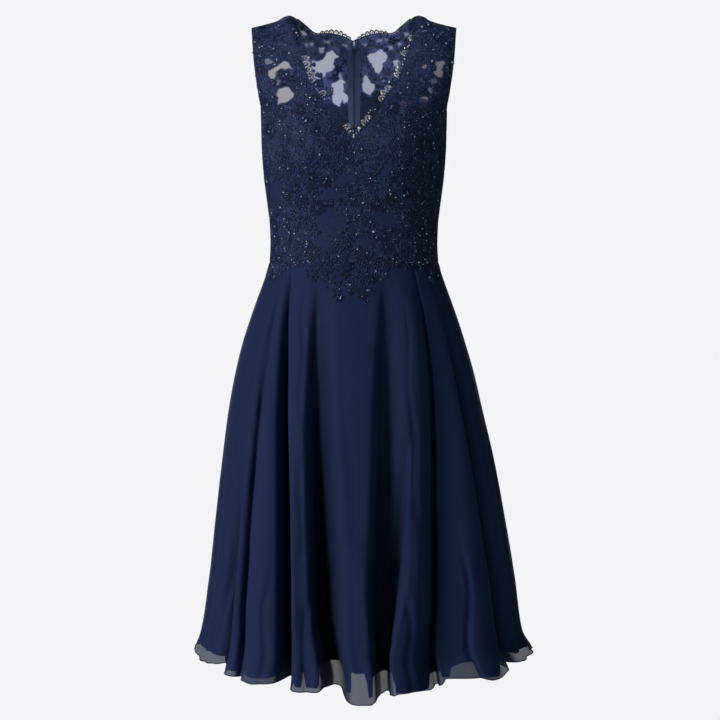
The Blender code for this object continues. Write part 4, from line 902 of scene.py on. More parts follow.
# heights across a petal and a leaf, and the tones there: the high tones are the cords' painted highlight
PETAL = ((0.0, 0.0010, 0.0004, 0.0010, 0.0), (0.55, 1.0, 0.25, 1.0, 0.55))
LEAF = ((0.0, 0.0005, 0.0011, 0.0005, 0.0), (0.80, 0.35, 1.0, 0.35, 0.80))
BLADE_SHARES = (-1.0, -0.62, 0.0, 0.62, 1.0)          # where they are, as shares of the half width
BLADE_ROWS = (0, 0.16, 0.40, 0.66, 0.87, 1.0)         # sections of a petal or leaf, as shares of its length
LOW = 0.0007              # height of the motifs' lowest points over the net


def blade(length, wide, heights, tones, bend):
    """A petal or leaf that lies along +x: points, faces and tones."""
    points, values = [], []
    for t in BLADE_ROWS:
        half = wide * max(math.sin(math.pi * t ** 0.8) ** 0.75 if 0 < t < 1 else 0, 0.12)
        end = 0.35 if t in (0, 1) else 1.0
        for share, height, tone in zip(BLADE_SHARES, heights, tones):
            points.append((t * length, share * half + bend * t * t * length, height * end))
            values.append(tone)
    return np.array(points), grid_faces(len(BLADE_ROWS), len(BLADE_SHARES)), np.array(values)


def turned(points, angle, scale=1.0):
    c, s = math.cos(angle) * scale, math.sin(angle) * scale
    x, y = points[:, 0] * c - points[:, 1] * s, points[:, 0] * s + points[:, 1] * c
    return np.stack([x, y, points[:, 2]], -1)


class Motif:
    """A flat pattern with beads: points are (u, v, height)."""

    def __init__(self):
        self.shape = Parts()
        self.beads = []

    def blade(self, kind, length, wide, at=(0, 0), angle=0.0, bend=0.0, inner=0.0):
        points, faces, tones = blade(length, wide, *kind, bend)
        points[:, 0] += inner
        self.shape.add(turned(points, angle) + (*at, 0), faces, tones)

    def loop(self, length, wide, angle=0.0, at=(0, 0), inner=0.0, fill=None):
        """An outlined petal or leaf, with a low filling if that has a tone."""
        t = np.linspace(0, 2 * np.pi, 12)
        u = inner + length * (1 - np.cos(t)) / 2
        path = np.stack([u, wide * np.sin(t) * (0.62 + 0.38 * (1 - np.cos(t)) / 2), np.zeros(12)], -1)
        path = turned(path, angle)[:, :2] + at
        if fill is not None:
            rim = np.concatenate([path[:-1], np.full((11, 1), 0.0001)], 1)
            self.shape.add(np.concatenate([rim, [(*path[:-1].mean(0), 0.0004)]]),
                           [(k, (k + 1) % 11, 11) for k in range(11)], fill)
        self.stem(path, tone=0.85)

    def stem(self, path, wide=0.00055, high=0.0010, tone=0.9):
        path = np.array(path, float)
        along = np.gradient(path, axis=0)
        side = np.stack([-along[:, 1], along[:, 0]], -1)
        side /= np.linalg.norm(side, axis=1, keepdims=True)
        rows = [np.concatenate([path + side * share * wide, np.full((len(path), 1), height)], 1)
                for share, height in ((-1, 0.0), (0, high), (1, 0.0))]
        self.shape.add(np.stack(rows, 1).reshape(-1, 3), grid_faces(len(path), 3), tone)

    def disc(self, radius, high, tone, sides=8):
        turn = np.linspace(0, 2 * np.pi, sides, endpoint=False)
        rims = [np.stack([r * np.cos(turn), r * np.sin(turn), np.full(sides, h)], -1)
                for r, h in ((radius, 0.0), (radius * 0.6, high))]
        top = [(sides + j, sides + (j + 1) % sides, 2 * sides) for j in range(sides)]
        self.shape.add(np.concatenate(rims + [[(0, 0, high * 1.1)]]), ring_faces(2, sides) + top, tone)

    def bead(self, x, y, radius, height=0.0010):
        self.beads.append((x, y, height, radius))

    def bead_at(self, angle, reach, radius, height=0.0010):
        self.bead(reach * math.cos(angle), reach * math.sin(angle), radius, height)


def flower(radius, petals, beads=True, ring=False, fill=None):
    made = Motif()
    for k in range(petals):
        angle = 2 * math.pi * k / petals
        wide = radius * 1.15 / petals + radius * 0.12
        made.loop(radius * 0.78, wide, angle, inner=radius * 0.22, fill=fill)
        if beads and k % 2 == 0:
            made.bead_at(angle, radius * 0.66, 0.00062)
    if ring:
        for k in range(5):
            angle = 2 * math.pi * (k + 0.5) / 5
            made.blade(PETAL, radius * 0.36, radius * 0.15, angle=angle, inner=radius * 0.06)
    made.disc(radius * 0.16, 0.0014, 0.45)
    if beads:
        made.bead(0, 0, radius * 0.085, 0.0016)
        for k in range(5):
            made.bead_at(2 * math.pi * k / 5, radius * 0.27, 0.00058)
    return made


def sprig(length, leaves, sway, filled):
    """A curved stem with leaves in turn on both sides and a bud at its tip."""
    made = Motif()
    t = np.linspace(0, 1, 12)
    path = np.stack([t * length - length / 2, sway * np.sin(t * np.pi * 1.15)], -1)
    made.stem(path)
    for k in range(leaves):
        share = (k + 0.6) / leaves
        at = (share * length - length / 2, sway * math.sin(share * math.pi * 1.15))
        way = 1 if k % 2 else -1
        size = length * (0.30 - 0.10 * share)
        if (k % 3 == 0) == filled:
            made.blade(LEAF, size, size * 0.24, at, way * 0.85, bend=-way * 0.12)
        else:
            made.loop(size, size * 0.26, way * 0.80, at)
        made.bead(*at, 0.00055, 0.0013)
    for angle in (-0.7, 0.0, 0.7):
        made.loop(length * 0.15, length * 0.045, angle, tuple(path[-1]))
    made.bead(*path[-1], 0.0008, 0.0014)
    return made


def scroll(size, turns=4.4):
    """A curled tendril with beads along it."""
    made = Motif()
    for width in (1.0, 0.76):
        t = np.linspace(0, 1, 14)
        angle = 0.5 + turns * t
        reach = size * (1 - 0.72 * t) * width
        made.stem(np.stack([reach * np.cos(angle), reach * np.sin(angle)], -1), 0.0005)
    for k in range(4):
        t = 0.12 + 0.24 * k
        made.bead_at(0.5 + turns * t, size * (1 - 0.72 * t) * 0.9, 0.00055, 0.0009)
    return made


def leaf_fan(size, blades=3, outlined=False):
    made = Motif()
    for k in range(blades):
        angle = (k - (blades - 1) / 2) * 0.75
        if outlined:
            made.loop(size * 1.5, size * 0.34, angle, (-size * 0.75, 0), fill=0.1)
        else:
            made.blade(LEAF, size * 1.5, size * 0.30, (-size * 0.75, 0), angle, bend=0.10 * (k - 1))
    made.bead(-size * 0.7, 0, 0.0006, 0.0012)
    return made


def bud():
    made = Motif()
    made.blade(LEAF, 0.0058, 0.0013, (-0.0028, 0))
    made.bead(0.0034, 0, 0.0006, 0.0006)
    return made


def bead_ring(radius):
    made = Motif()
    turn = np.linspace(0, 2 * np.pi, 9)
    made.stem(np.stack([radius * np.cos(turn), radius * np.sin(turn)], -1), 0.0004, 0.0008)
    made.bead(0, 0, 0.0009, 0.0008)
    return made


MOTIFS = {
    "rose": [flower(0.0112, 7, ring=True, fill=0.0), flower(0.0106, 6, ring=True),
             flower(0.0104, 8, fill=0.05)],
    "daisy": [flower(0.0074, 5, fill=0.05), flower(0.0070, 6), flower(0.0078, 6, ring=True)],
    "small": [flower(0.0050, 5), scroll(0.0054), leaf_fan(0.0048), scroll(0.0048, 3.2),
              flower(0.0046, 4, fill=0.3)],
    "sprig": [sprig(0.028, 7, 0.005, True), sprig(0.025, 6, -0.004, False), sprig(0.031, 9, 0.007, False)],
    "tiny": [flower(0.0036, 4, beads=False, fill=0.3), leaf_fan(0.0036, 2), bud(), bead_ring(0.0018),
             leaf_fan(0.0036, 2, True)],
    "bud": [bud(), bead_ring(0.0014)],
}
# name, radius kept free round it, tries
CLASSES = (("rose", 0.0108, 900), ("sprig", 0.0092, 2500), ("daisy", 0.0066, 3500), ("small", 0.0046, 8000),
           ("tiny", 0.0032, 9000), ("bud", 0.0023, 8000))
SPRIG_GAP = 0.0165        # how far the long sprigs stay from a cut edge
STRETCH = 1.18            # motifs that the surface would stretch more are left out
BEAD_SIDES = 6
BEAD_RINGS = ((0.75, -0.6), (1.0, 0.05), (0.62, 0.75))      # radius and height
BEAD_SHARE = 0.85         # beads only where the lace keeps more of its height


def scatter(loop, surface, seed, rims, avoid, chance_at, classes=CLASSES, first=()):
    """Packs motifs over the surface inside a flat loop: rows of (motif, azimuth, run, angle, scale)."""
    draw = np.random.default_rng(seed)
    low, high = loop.min(0), loop.max(0)
    taken, reaches, rows = np.zeros((0, 3)), np.zeros(0), []
    for name, reach, tries in classes:
        spots = np.stack([draw.uniform(low[0], high[0], tries), draw.uniform(low[1], high[1], tries)], -1)
        if name == classes[0][0] and len(first):
            spots = np.concatenate([np.array(first, float), spots])
        spots = spots[inside(spots, loop)]
        azimuth, run = unflat(spots)
        places = surface(azimuth, run)
        wide = np.linalg.norm(surface(azimuth + 0.5, run) - surface(azimuth - 0.5, run), axis=-1)
        fair = draw.uniform(0, 1, len(spots)) < np.clip(wide / DEGREE_WIDE, 0.2, 1)
        rim_gap = SPRIG_GAP if name == "sprig" else reach * 0.98
        good = fair & (distances(places, rims) > rim_gap) & ~avoid(places, reach)
        good &= draw.uniform(0, 1, len(spots)) < chance_at(places, name)
        for k in np.nonzero(good)[0]:
            place = places[k]
            if len(taken) and (np.linalg.norm(taken - place, axis=1) < (reaches + reach) * 0.90).any():
                continue
            taken = np.concatenate([taken, [place]])
            reaches = np.append(reaches, reach)
            motif = MOTIFS[name][int(draw.integers(len(MOTIFS[name])))]
            rows.append((motif, azimuth[k], run[k], draw.uniform(0, 2 * np.pi), draw.uniform(0.82, 1.14)))
    return rows


BEAD_TURN = np.linspace(0, 2 * np.pi, BEAD_SIDES, endpoint=False)
BEAD_POINTS = np.array([(math.cos(a) * r, math.sin(a) * r, h) for r, h in BEAD_RINGS for a in BEAD_TURN])
BEAD_FACES = ring_faces(3, BEAD_SIDES) + [tuple(2 * BEAD_SIDES + j for j in range(BEAD_SIDES))]


class Lace:
    """Motifs and beads laid on a surface."""

    def __init__(self, surface, limits):
        self.surface, self.limits = surface, limits
        self.threads, self.spots = Parts(), []

    def lay(self, rows, lift=LOW, way=1):
        """Lays motifs on the surface, or behind it where way is -1."""
        draw = np.random.default_rng(len(rows))
        for motif, azimuth, run, angle, scale in rows:
            # a random tone for each motif; threads laid behind the surface, inside the back, get 1.5 times it
            # as painted light
            tone_and_painted_light = draw.uniform(0.62, 1.22) * (1 if way > 0 else 1.5)
            points = turned(np.concatenate(motif.shape.points), angle, scale)
            at = self.on(azimuth, run, points[:, :2])
            spans = np.linalg.norm(self.surface(at[:, 0], at[:, 1]) - self.surface(azimuth, run), axis=-1)
            if spans.max() > STRETCH * np.linalg.norm(points[:, :2], axis=1).max():
                continue
            height = (points[:, 2] + lift) * self.lowered(at) * way
            self.threads.add(np.concatenate([at, height[:, None]], 1), motif.shape.faces,
                             np.concatenate(motif.shape.tones) * tone_and_painted_light)
            if motif.beads and way > 0:
                beads = np.array(motif.beads)
                at = self.on(azimuth, run, turned(beads[:, :3], angle, scale)[:, :2])
                low = self.lowered(at)
                self.spots += [(*place, (height + lift) * share, radius)
                               for place, share, (_, _, height, radius) in zip(at, low, beads)
                               if share > BEAD_SHARE]

    def lowered(self, at):
        """The share of its height that lace keeps at places: less at the sides and the shoulder ridges."""
        if self.surface is skirt:
            return lerp(0.30, 1.0, ease((np.abs(np.abs(at[:, 0]) - 90) - 3) / 13))
        aside = np.abs(ring(at[:, 0], B_SQUARE(at[:, 1]))[0])
        below = at[:, 1] - 0.004
        return lerp(0.30, 1.0, ease((0.990 - aside) / 0.045)) * lerp(0.10, 1.0, ease(below / 0.022))

    def clear_of(self, places, gap):
        """Leaves out the beads that are no further than the gap from places."""
        spots = np.array(self.spots)
        far = distances(self.surface(spots[:, 0], spots[:, 1]), places) > gap
        self.spots = [spot for spot, kept in zip(self.spots, far) if kept]

    def on(self, azimuth, run, flat_points):
        """Azimuths and runs of flat points laid about a place."""
        wide = np.linalg.norm(self.surface(azimuth + 0.5, run) - self.surface(azimuth - 0.5, run))
        at_azimuth = azimuth + flat_points[:, 0] / max(wide, 0.0005)
        return np.stack([at_azimuth, np.clip(run + flat_points[:, 1], *self.limits)], -1)

    def thread_piece(self, name, slot, replaces=()):
        rows = np.concatenate(self.threads.points)
        self.threads.points = [lifted(self.surface, rows[:, 0], rows[:, 1], rows[:, 2])]
        return self.threads.piece(name, slot, THREAD, replaces)

    def bead_pieces(self, name, slot, seed, shares):
        """Beads of several kinds: shares are (suffix, material, share or number, scale)."""
        draw = np.random.default_rng(seed)
        spots = np.array(self.spots)
        places = lifted(self.surface, spots[:, 0], spots[:, 1], spots[:, 2])
        out = normals(self.surface, spots[:, 0], spots[:, 1])
        pick = draw.uniform(0, 1, len(spots))
        start = 0.0
        for suffix, stuff, share, scale in shares:
            share = share / len(spots) if share > 1 else share
            kept = (pick >= start) & (pick < start + share)
            start += share
            beads = Parts()
            for place, way, radius in zip(places[kept], out[kept], spots[kept][:, 3]):
                tilt = way + draw.normal(0, 0.22, 3)
                tilt /= np.linalg.norm(tilt)
                side = np.cross(tilt, (0.3, 0.2, 0.9))
                side /= np.linalg.norm(side)
                axes = np.stack([side, np.cross(tilt, side), tilt])
                size = radius * scale * draw.uniform(0.72, 1.30)
                beads.add(place + BEAD_POINTS @ axes * size, BEAD_FACES)
            if beads.count:
                beads.piece(name + suffix, slot, stuff, smooth=False)


# ---------------------------------------------------------------- bodice

NET_STEP, LINING_STEP = 0.0036, 0.0060
YOKE_FOOT = -0.130        # level down to where the back's net is painted lighter, as painted light, and a little clear
YOKE_HALF = 0.094
YOKE_OPEN = 0.06
YOKE_RUN = 0.150          # run down to where the back's lace shows inside the neck
YOKE_AZIMUTH = 128
BEADS_CLEAR = 0.0045      # how far beads stay from a cut edge
NET_LIMITS = (0.0006, LENGTH - 0.0004)
# suffix, material, number or share, scale
REST = ("_dark", BEAD_DARK, 1.0, 1.0)
FRONT_BEADS = (("_bright", BEAD_PAINTED_SPARKLE, 120, 1.7), ("_blue", BEAD_PAINTED_GLINT, 1100, 1.35), REST)
BACK_BEADS = (("_bright", BEAD_PAINTED_SPARKLE, 52, 1.5), ("_blue", BEAD_PAINTED_GLINT, 540, 1.35), REST)


def worked(places, windows, lace):
    """Where the lace's threads cover the windows: 1 on a thread and close to it."""
    rows = np.concatenate(lace.threads.points)
    threads = bodice(rows[:, 0], rows[:, 1])
    threads = threads[by_window(threads, windows, 0.0030)]
    covered = np.zeros(len(places))
    near = by_window(places, windows, WINDOW_EDGE)
    covered[near] = 1 - ease((distances(places[near], threads) - 0.0005) / 0.0010)
    return covered


def net_piece(word, loop, back, lace):
    """The net panel, clear in its windows."""
    windows = WINDOWS_BACK if back else WINDOWS_FRONT
    points, faces = cloth(loop, NET_STEP, window_spots(windows, back))
    azimuth, run = unflat(points)
    places = bodice(azimuth, run)
    faces = facing_out(places, faces, normals(bodice, azimuth, run))
    shown = openness(places, windows) * (1 - worked(places, windows, lace))
    aside = np.abs(places[:, 0])
    if back:
        above = places[:, 2] - YOKE_FOOT
        shown = np.maximum(shown, YOKE_OPEN * ease(above / 0.006))
        # on the back, plain marks the yoke, which the back net paints lighter as painted light
        plain = ease(above / 0.010) * ease((YOKE_HALF - aside) / 0.012)
    else:
        plain = ease(within(places, PLAIN, 0.003) / 0.25)
    return new_piece("net_bodice_" + word, places, faces, NET_BACK if back else NET,
                     ("bodice_" + word,),
                     values={"open": shown, "plain": plain, "beside": ease((aside - 0.078) / 0.010)})


def front_avoid(places, reach):
    return by_window(places, WINDOWS_FRONT, reach * 0.86) | (within(places, PLAIN, reach * 0.5) > 0)


def back_avoid(places, reach):
    return by_window(places, WINDOWS_BACK, reach * 0.85)


def front_chance(places, name):
    x, z = np.abs(places[:, 0]), places[:, 2]
    chance = np.where((z < -0.235) & (x < 0.075), 0.35 if name in ("rose", "sprig") else 0.5, 1.0)
    return np.where(z < -0.345, 1.0, chance)


def back_chance(places, name):
    x, z = np.abs(places[:, 0]), places[:, 2]
    return np.where((z < -0.235) & (x < 0.080) & (z > -0.345), 0.5, 1.0)


def rim_points(loop, back):
    """Points in space of the part of a loop that is a cut edge."""
    azimuth, run = unflat(fine(loop, 0.003))
    turn = np.abs(azimuth)
    return bodice(azimuth, run)[(run < LENGTH - 0.001) & (turn > 90.3 if back else turn < 89.7)]


def make_bodice():
    flowers = flat(*on_bodice(*np.transpose(FLOWERS)))
    for word, loop, seed, first in (("front", FRONT_LOOP, 11, flowers), ("back_left", BACK_LOOP, 32, ()),
                                    ("back_right", BACK_LOOP[::-1] * MIRROR, 30, ())):
        back = word != "front"
        cut = rim_points(loop, back)
        rows = scatter(loop, bodice, seed, cut, back_avoid if back else front_avoid,
                       back_chance if back else front_chance, first=first)
        lace = Lace(bodice, NET_LIMITS)
        lace.lay(rows)
        lace.clear_of(cut, BEADS_CLEAR)
        net = net_piece(word, loop, back, lace)
        if back:
            # the back's lace seen inside the neck, painted lighter as painted light
            lace.lay([row for row in rows if row[2] < YOKE_RUN and abs(row[1]) > YOKE_AZIMUTH], 0.0003, -1)
        threads = lace.thread_piece("lace_bodice_" + word, "navy_lace")
        lace.bead_pieces("beads_bodice_" + word, "navy_lace", seed + 10, BACK_BEADS if back else FRONT_BEADS)


def make_bodice_lining():
    loops = (("front", whole(lining_front_half())), ("back_left", lining_back_half()),
             ("back_right", lining_back_half(LINING_DIP)[::-1] * MIRROR))
    for word, loop in loops:
        points, faces = cloth(loop, LINING_STEP)
        azimuth, run = unflat(points)
        places = lifted(bodice, azimuth, run, -LACE_INSIDE)
        faces = facing_out(places, faces, normals(bodice, azimuth, run))
        piece = new_piece("lining_bodice_" + word, places, faces, INSIDE,
                          ("bodice_lining_" + word,))


# ---------------------------------------------------------------- edgings

EDGING_RUN = 0.016        # above this the edging has no loops
TAPE_SHOWS = (0.80, 0.92)  # where a tape under the V's edge shows, as shares of the edge
# half width of the neckline, size of its scallops there
FRONT_SCALLOPS = curve(((0.0, 1.1), (0.030, 1.0), (0.080, 0.95), (0.090, 0.75), (0.094, 0.3), (0.0995, 0.0)))
BACK_SCALLOPS = curve(((0.0, 0.0), (0.006, 0.35), (0.014, 0.75), (0.022, 1.15), (0.034, 1.2), (0.044, 0.7),
                       (0.052, 0.45), (0.056, 0.0), (0.0995, 0.0)))
FRONT_REACH, BACK_REACH = 0.0094, 0.0052
# place along a scallop as a share of its step, how far out as a share of its reach, radius of the bead there
SCALLOP_BEADS = ((0.50, 1.02, 0.00085), (0.98, 0.20, 0.0007), (0.26, 0.74, 0.0008), (0.74, 0.74, 0.0008),
                 (0.34, 0.34, 0.0007), (0.66, 0.34, 0.0007), (0.50, 0.12, 0.0009), (0.12, 0.32, 0.0007))
# side, half widths between which the V's edging holds cream crystals, and the share of them
CREAM = ((-1, 0.070, 0.079, 0.85), (-1, 0.060, 0.070, 0.25), (-1, 0.044, 0.053, 0.40),
         (-1, 0.004, 0.022, 0.15), (1, 0.066, 0.088, 0.45), (1, 0.044, 0.056, 0.85), (1, 0.022, 0.044, 0.35),
         (1, 0.004, 0.021, 0.22))
# side, half width, place out from the edge and radius of the large crystals by the V's foot
CRYSTALS = ((-1, 0.0165, 0.0052, 0.0011), (-1, 0.0130, 0.0042, 0.0019), (-1, 0.0092, 0.0058, 0.0014),
            (-1, 0.0028, 0.0040, 0.0013), (1, 0.0040, 0.0056, 0.0021), (1, 0.0072, 0.0044, 0.0015),
            (1, 0.0128, 0.0060, 0.0021), (1, 0.0106, 0.0042, 0.0011), (1, 0.0178, 0.0042, 0.0012))


def shine_at(x, side, back):
    """The share of cream loops and beads at a half width of the neckline."""
    if back:
        return 0.25 if x > 0.007 else 0.0
    return max([0.07] + [share for way, low, high, share in CREAM if way == side and low < x < high])


def make_edging(rows, steps, back, side):
    """Scallops along a cut edge: two cords, an arch and a ring at each step, and beads."""
    half, level = spread(rows, steps)
    edge = np.stack([half, np.maximum(run_at(half, level), RIDGE_GAP)], -1)
    if back:
        edge[-1][0] = 0.0008
    ways = np.array([edge[min(i + 1, steps)] - edge[max(i - 1, 0)] for i in range(steps + 1)])
    threads, pale, dark, cream = Parts(), Parts(), [], []
    draw = np.random.default_rng(steps * 2 + side)

    def at(place, out):
        """Azimuth and run of places along the edge, counted in steps, and out from it."""
        place, out = np.broadcast_arrays(np.asarray(place, float), np.asarray(out, float))
        before = np.clip(place.astype(int), 0, steps - 1)
        share = (place - before)[:, None]
        along = lerp(ways[before], ways[before + 1], share)
        along /= np.linalg.norm(along, axis=1, keepdims=True)
        outward = np.stack([-along[:, 1], along[:, 0]], -1)
        point = lerp(edge[before], edge[before + 1], share) + outward * out[:, None]
        x, run = np.maximum(point[:, 0], 0.0002), np.maximum(point[:, 1], RIDGE_GAP)
        return azimuth_at(x, run, back) * side, run

    def cord(place, out, radius, height, closed=False, tone=0.6, kind=threads):
        azimuth, run = at(place, out)
        points = lifted(bodice, azimuth, run, height)
        kind.add(*tube(points, normals(bodice, azimuth, run), radius, 5, closed), tone)

    line = np.linspace(0, steps, steps * 5 + 1)
    line = line[np.interp(line, np.arange(steps + 1), edge[:, 1]) > EDGING_RUN]
    cord(line, 0.0004, 0.00060, 0.0004)
    if back:
        cord(line, 0.0016, 0.00060, 0.0002, tone=0.5)
    else:
        cord(line, 0.0030 + 0.0004 * np.sin(line * 2 * np.pi), 0.00045, 0.0003)
    arch, circle = np.linspace(0, np.pi, 9), np.linspace(0, 2 * np.pi, 9)[:-1]
    for i in range(steps if back else steps - 1):
        x = float(lerp(edge[i][0], edge[i + 1][0], 0.5))
        size = float((BACK_SCALLOPS if back else FRONT_SCALLOPS)(x)) * draw.uniform(0.85, 1.12)
        if size < 0.2 or edge[i][1] < EDGING_RUN:
            continue
        shine = shine_at(x, side, back)
        kind = pale if not back and draw.uniform() < shine else threads
        reach = (BACK_REACH if back else FRONT_REACH) * size
        thick = 0.00078 if kind is threads else 0.00064
        cord(i + 0.5 - 0.46 * np.cos(arch), 0.0018 + reach * np.sin(arch) ** 0.8, thick, 0.0004, kind=kind)
        cord(i + 0.5 + 0.20 * np.cos(circle), 0.0020 + reach * (0.5 + 0.28 * np.sin(circle)), 0.00042, 0.0003,
             True, kind=kind)
        for place, out, radius in SCALLOP_BEADS:
            azimuth, run = at([i + place], [0.0018 + reach * out])
            bright = draw.uniform() < shine * 0.8
            if bright and not back and draw.uniform() < 0.45:
                continue
            radius *= 1.25 if bright else 0.85
            (cream if bright else dark).append((azimuth[0], run[0], 0.0012, radius))
    if side > 0 and not back:
        shown = (line > TAPE_SHOWS[0] * steps) & (line < TAPE_SHOWS[1] * steps)
        cord(line[shown], -0.0040, 0.00050, 0.0004, tone=1.6)
    for way, half, out, radius in CRYSTALS:
        if way == side and not back:
            azimuth, run = at([np.interp(half, edge[::-1, 0], np.arange(steps, -1, -1))], [out])
            cream.append((azimuth[0], run[0], 0.0014, radius))
    return threads, pale, dark, cream


def make_edgings():
    for side, word in ((1, "left"), (-1, "right")):
        for name, rows, steps, back in (("edging_front_" + word, V_NECK, 25, False),
                                        ("edging_back_" + word, BACK_NECK, 16, True)):
            threads, pale, dark, cream = make_edging(rows, steps, back, side)
            threads.piece("lace_" + name, "navy_trim", THREAD, (name,))
            if pale.count:
                pale.piece("loops_" + name, "navy_trim", CREAM_CORD)
            for suffix, spots, stuff in (("_dark", dark, BEAD_DARK), ("_cream", cream, BEAD_PEARL)):
                lace = Lace(bodice, (0.0003, LENGTH))
                lace.spots = spots
                lace.bead_pieces("beads_" + name, "navy_trim", 60 + side, ((suffix, stuff, 1.0, 1.0),))


# ---------------------------------------------------------------- skirt

# name, azimuths of its sides, columns of points for each degree
PANELS = (("front", -89.99, 89.99, 2.1), ("back_left", 90.01, 179.99, 1.8),
          ("back_right", 180.01, 269.99, 1.8))
CHIFFON_ROWS, LINING_ROWS = 98, 52
# azimuths between which the front's chiffon counts as at least so full
FULL_FROM_TO, FULL_AT_LEAST = ((-48, -27), (24, 52)), 0.55


def fullness(azimuth, run):
    """How much more cloth lies on a place of a fold than on flat skirt: 0 on a ridge, 1 on a steep bank.

    The front's right flap is clearer than flat skirt."""
    s, c = np.sin(np.radians(azimuth)), np.cos(np.radians(azimuth))
    facing = (normals(skirt, azimuth, run) * np.stack([s, -c, np.zeros_like(s)], -1)).sum(-1)
    turn = wrapped(azimuth)
    thin = 1.10 * ease((turn + 82) / 8) * ease((-52 - turn) / 4)
    full = (1 - ease((facing - 0.10) / 0.75)) * (1 - thin) - thin
    for start, finish in FULL_FROM_TO:
        full = np.maximum(full, FULL_AT_LEAST * ease((turn - start) / 3) * ease((finish - turn) / 3))
    return full


def painted_fold_shade(azimuth, run):
    """Painted shade for the bottoms of the folds, from how deep in a fold a place lies: 1 at the bottom of a
    deep fold. Broad tilts don't count.
    """
    sunk, _ = folds(azimuth, SKIRT_TOP - run, FOLDS[:, 6:10].max(1) < TILT)
    return np.clip(sunk / FOLD_SHADE_DEPTH, 0, 1) ** 1.3


def hung_grid(places, hem_level, rows):
    """Azimuths and runs of points that follow the folds from places on the hem up to the waist."""
    run = (SKIRT_TOP - hem_level(wrapped(places)))[:, None] * np.linspace(0, 1, rows)[None]
    return fold_azimuth(np.broadcast_to(places[:, None], run.shape), SKIRT_TOP - run), run


def make_skirt():
    for word, start, finish, columns in PANELS:
        places = np.linspace(start, finish, int((finish - start) * columns))
        azimuth, run = hung_grid(places, HEM_LEVEL, CHIFFON_ROWS)
        # each skirt piece holds a painted shade value for the bottoms of its folds
        piece = new_piece("chiffon_skirt_" + word, skirt(azimuth, run), grid_faces(len(places), CHIFFON_ROWS),
                          CHIFFON, ("skirt_" + word,),
                          values={"full": fullness(azimuth, run), "painted_fold_shade": painted_fold_shade(azimuth, run)})
        hem = Parts()
        azimuth, run = azimuth[:, -1], run[:, -1]
        hem.add(*tube(skirt(azimuth, run), normals(skirt, azimuth, run), 0.0008), 0.5)
        hem.piece("hem_skirt_" + word, "navy_chiffon", LINING)
        azimuth, run = hung_grid(places, LINING_HEM_LEVEL, LINING_ROWS)
        piece = new_piece("lining_skirt_" + word, skirt_lining(azimuth, run),
                          grid_faces(len(places), LINING_ROWS), LINING,
                          ("skirt_lining_" + word,), values={"painted_fold_shade": painted_fold_shade(azimuth, run)})


# ---------------------------------------------------------------- lace over the waist seam

WAIST_CLASSES = (("daisy", 0.0078, 1500), ("small", 0.0056, 3000), ("tiny", 0.0040, 2500),
                 ("bud", 0.0028, 1200))
WAIST_BEADS = (("_bright", BEAD_PAINTED_SPARKLE, 9, 1.6), ("_blue", BEAD_PAINTED_GLINT, 0.25, 1.3), REST)
WAIST_LIFT = 0.0010
WAIST_CHANCE = 0.7


def make_waist_lace():
    for name, spill, side, seed in (("front", SPILL_FRONT, 1, 71), ("back_left", SPILL_BACK, 1, 72),
                                    ("back_right", SPILL_BACK, -1, 73)):
        azimuths = np.linspace(spill[0][0], spill[-1][0], 160)
        upper, lower = flat(azimuths, 0.0004), flat(azimuths, curve(spill)(azimuths))
        loop = np.concatenate([upper, lower[::-1]])
        if side < 0:
            loop = loop[::-1] * MIRROR
        rim = skirt(lower[:, 0] / DEGREE_WIDE * side, lower[:, 1])
        rows = scatter(loop, skirt, seed, rim, lambda places, _: np.zeros(len(places), bool),
                       lambda places, _: np.full(len(places), WAIST_CHANCE), WAIST_CLASSES)
        lace = Lace(skirt, (0.0, 0.2))
        lace.lay(rows, WAIST_LIFT)
        lace.thread_piece("lace_waist_" + name, "navy_lace", ("waist_lace_" + name,))
        lace.bead_pieces("beads_waist_" + name, "navy_lace", seed + 10, WAIST_BEADS)


# ---------------------------------------------------------------- zip

TAPE_ENDS, TAPE_ROWS = (-0.0469, -0.435), 130
TAPE_COLUMNS = ((0.00001, 0.0), (0.0017, 0.0004), (0.0030, 0.0), (0.0092, 0.0))       # across, further inside
TEETH_ENDS, TEETH = (-0.050, -0.430), 300
TOOTH_SIZE = (0.0011, 0.00045, 0.0004)
TOOTH_SHIFT = 0.0004      # how far the teeth lie to each side in turn


def back_seam(across, level, offset):
    run_b = run_at(0.0, np.maximum(level, WAIST))
    run_s = np.maximum(SKIRT_TOP - level, 0.0)
    upper = lifted(bodice, azimuth_at(across, run_b, True), run_b, offset)
    lower = lifted(lambda a, r: skirt(a, r, crease=0.0),
                   180 - np.degrees(np.arcsin(across / S_HALF(level))), run_s, offset)
    return np.where((level > WAIST)[..., None], upper, lower)


def tape_inset(level):
    below = lerp(0.0024, 0.0110, ease(np.maximum(WAIST - level, 0.0) / 0.30)) + 0.0019
    return lerp(0.0020, below, ease((-0.350 - level) / (-0.350 - WAIST)))


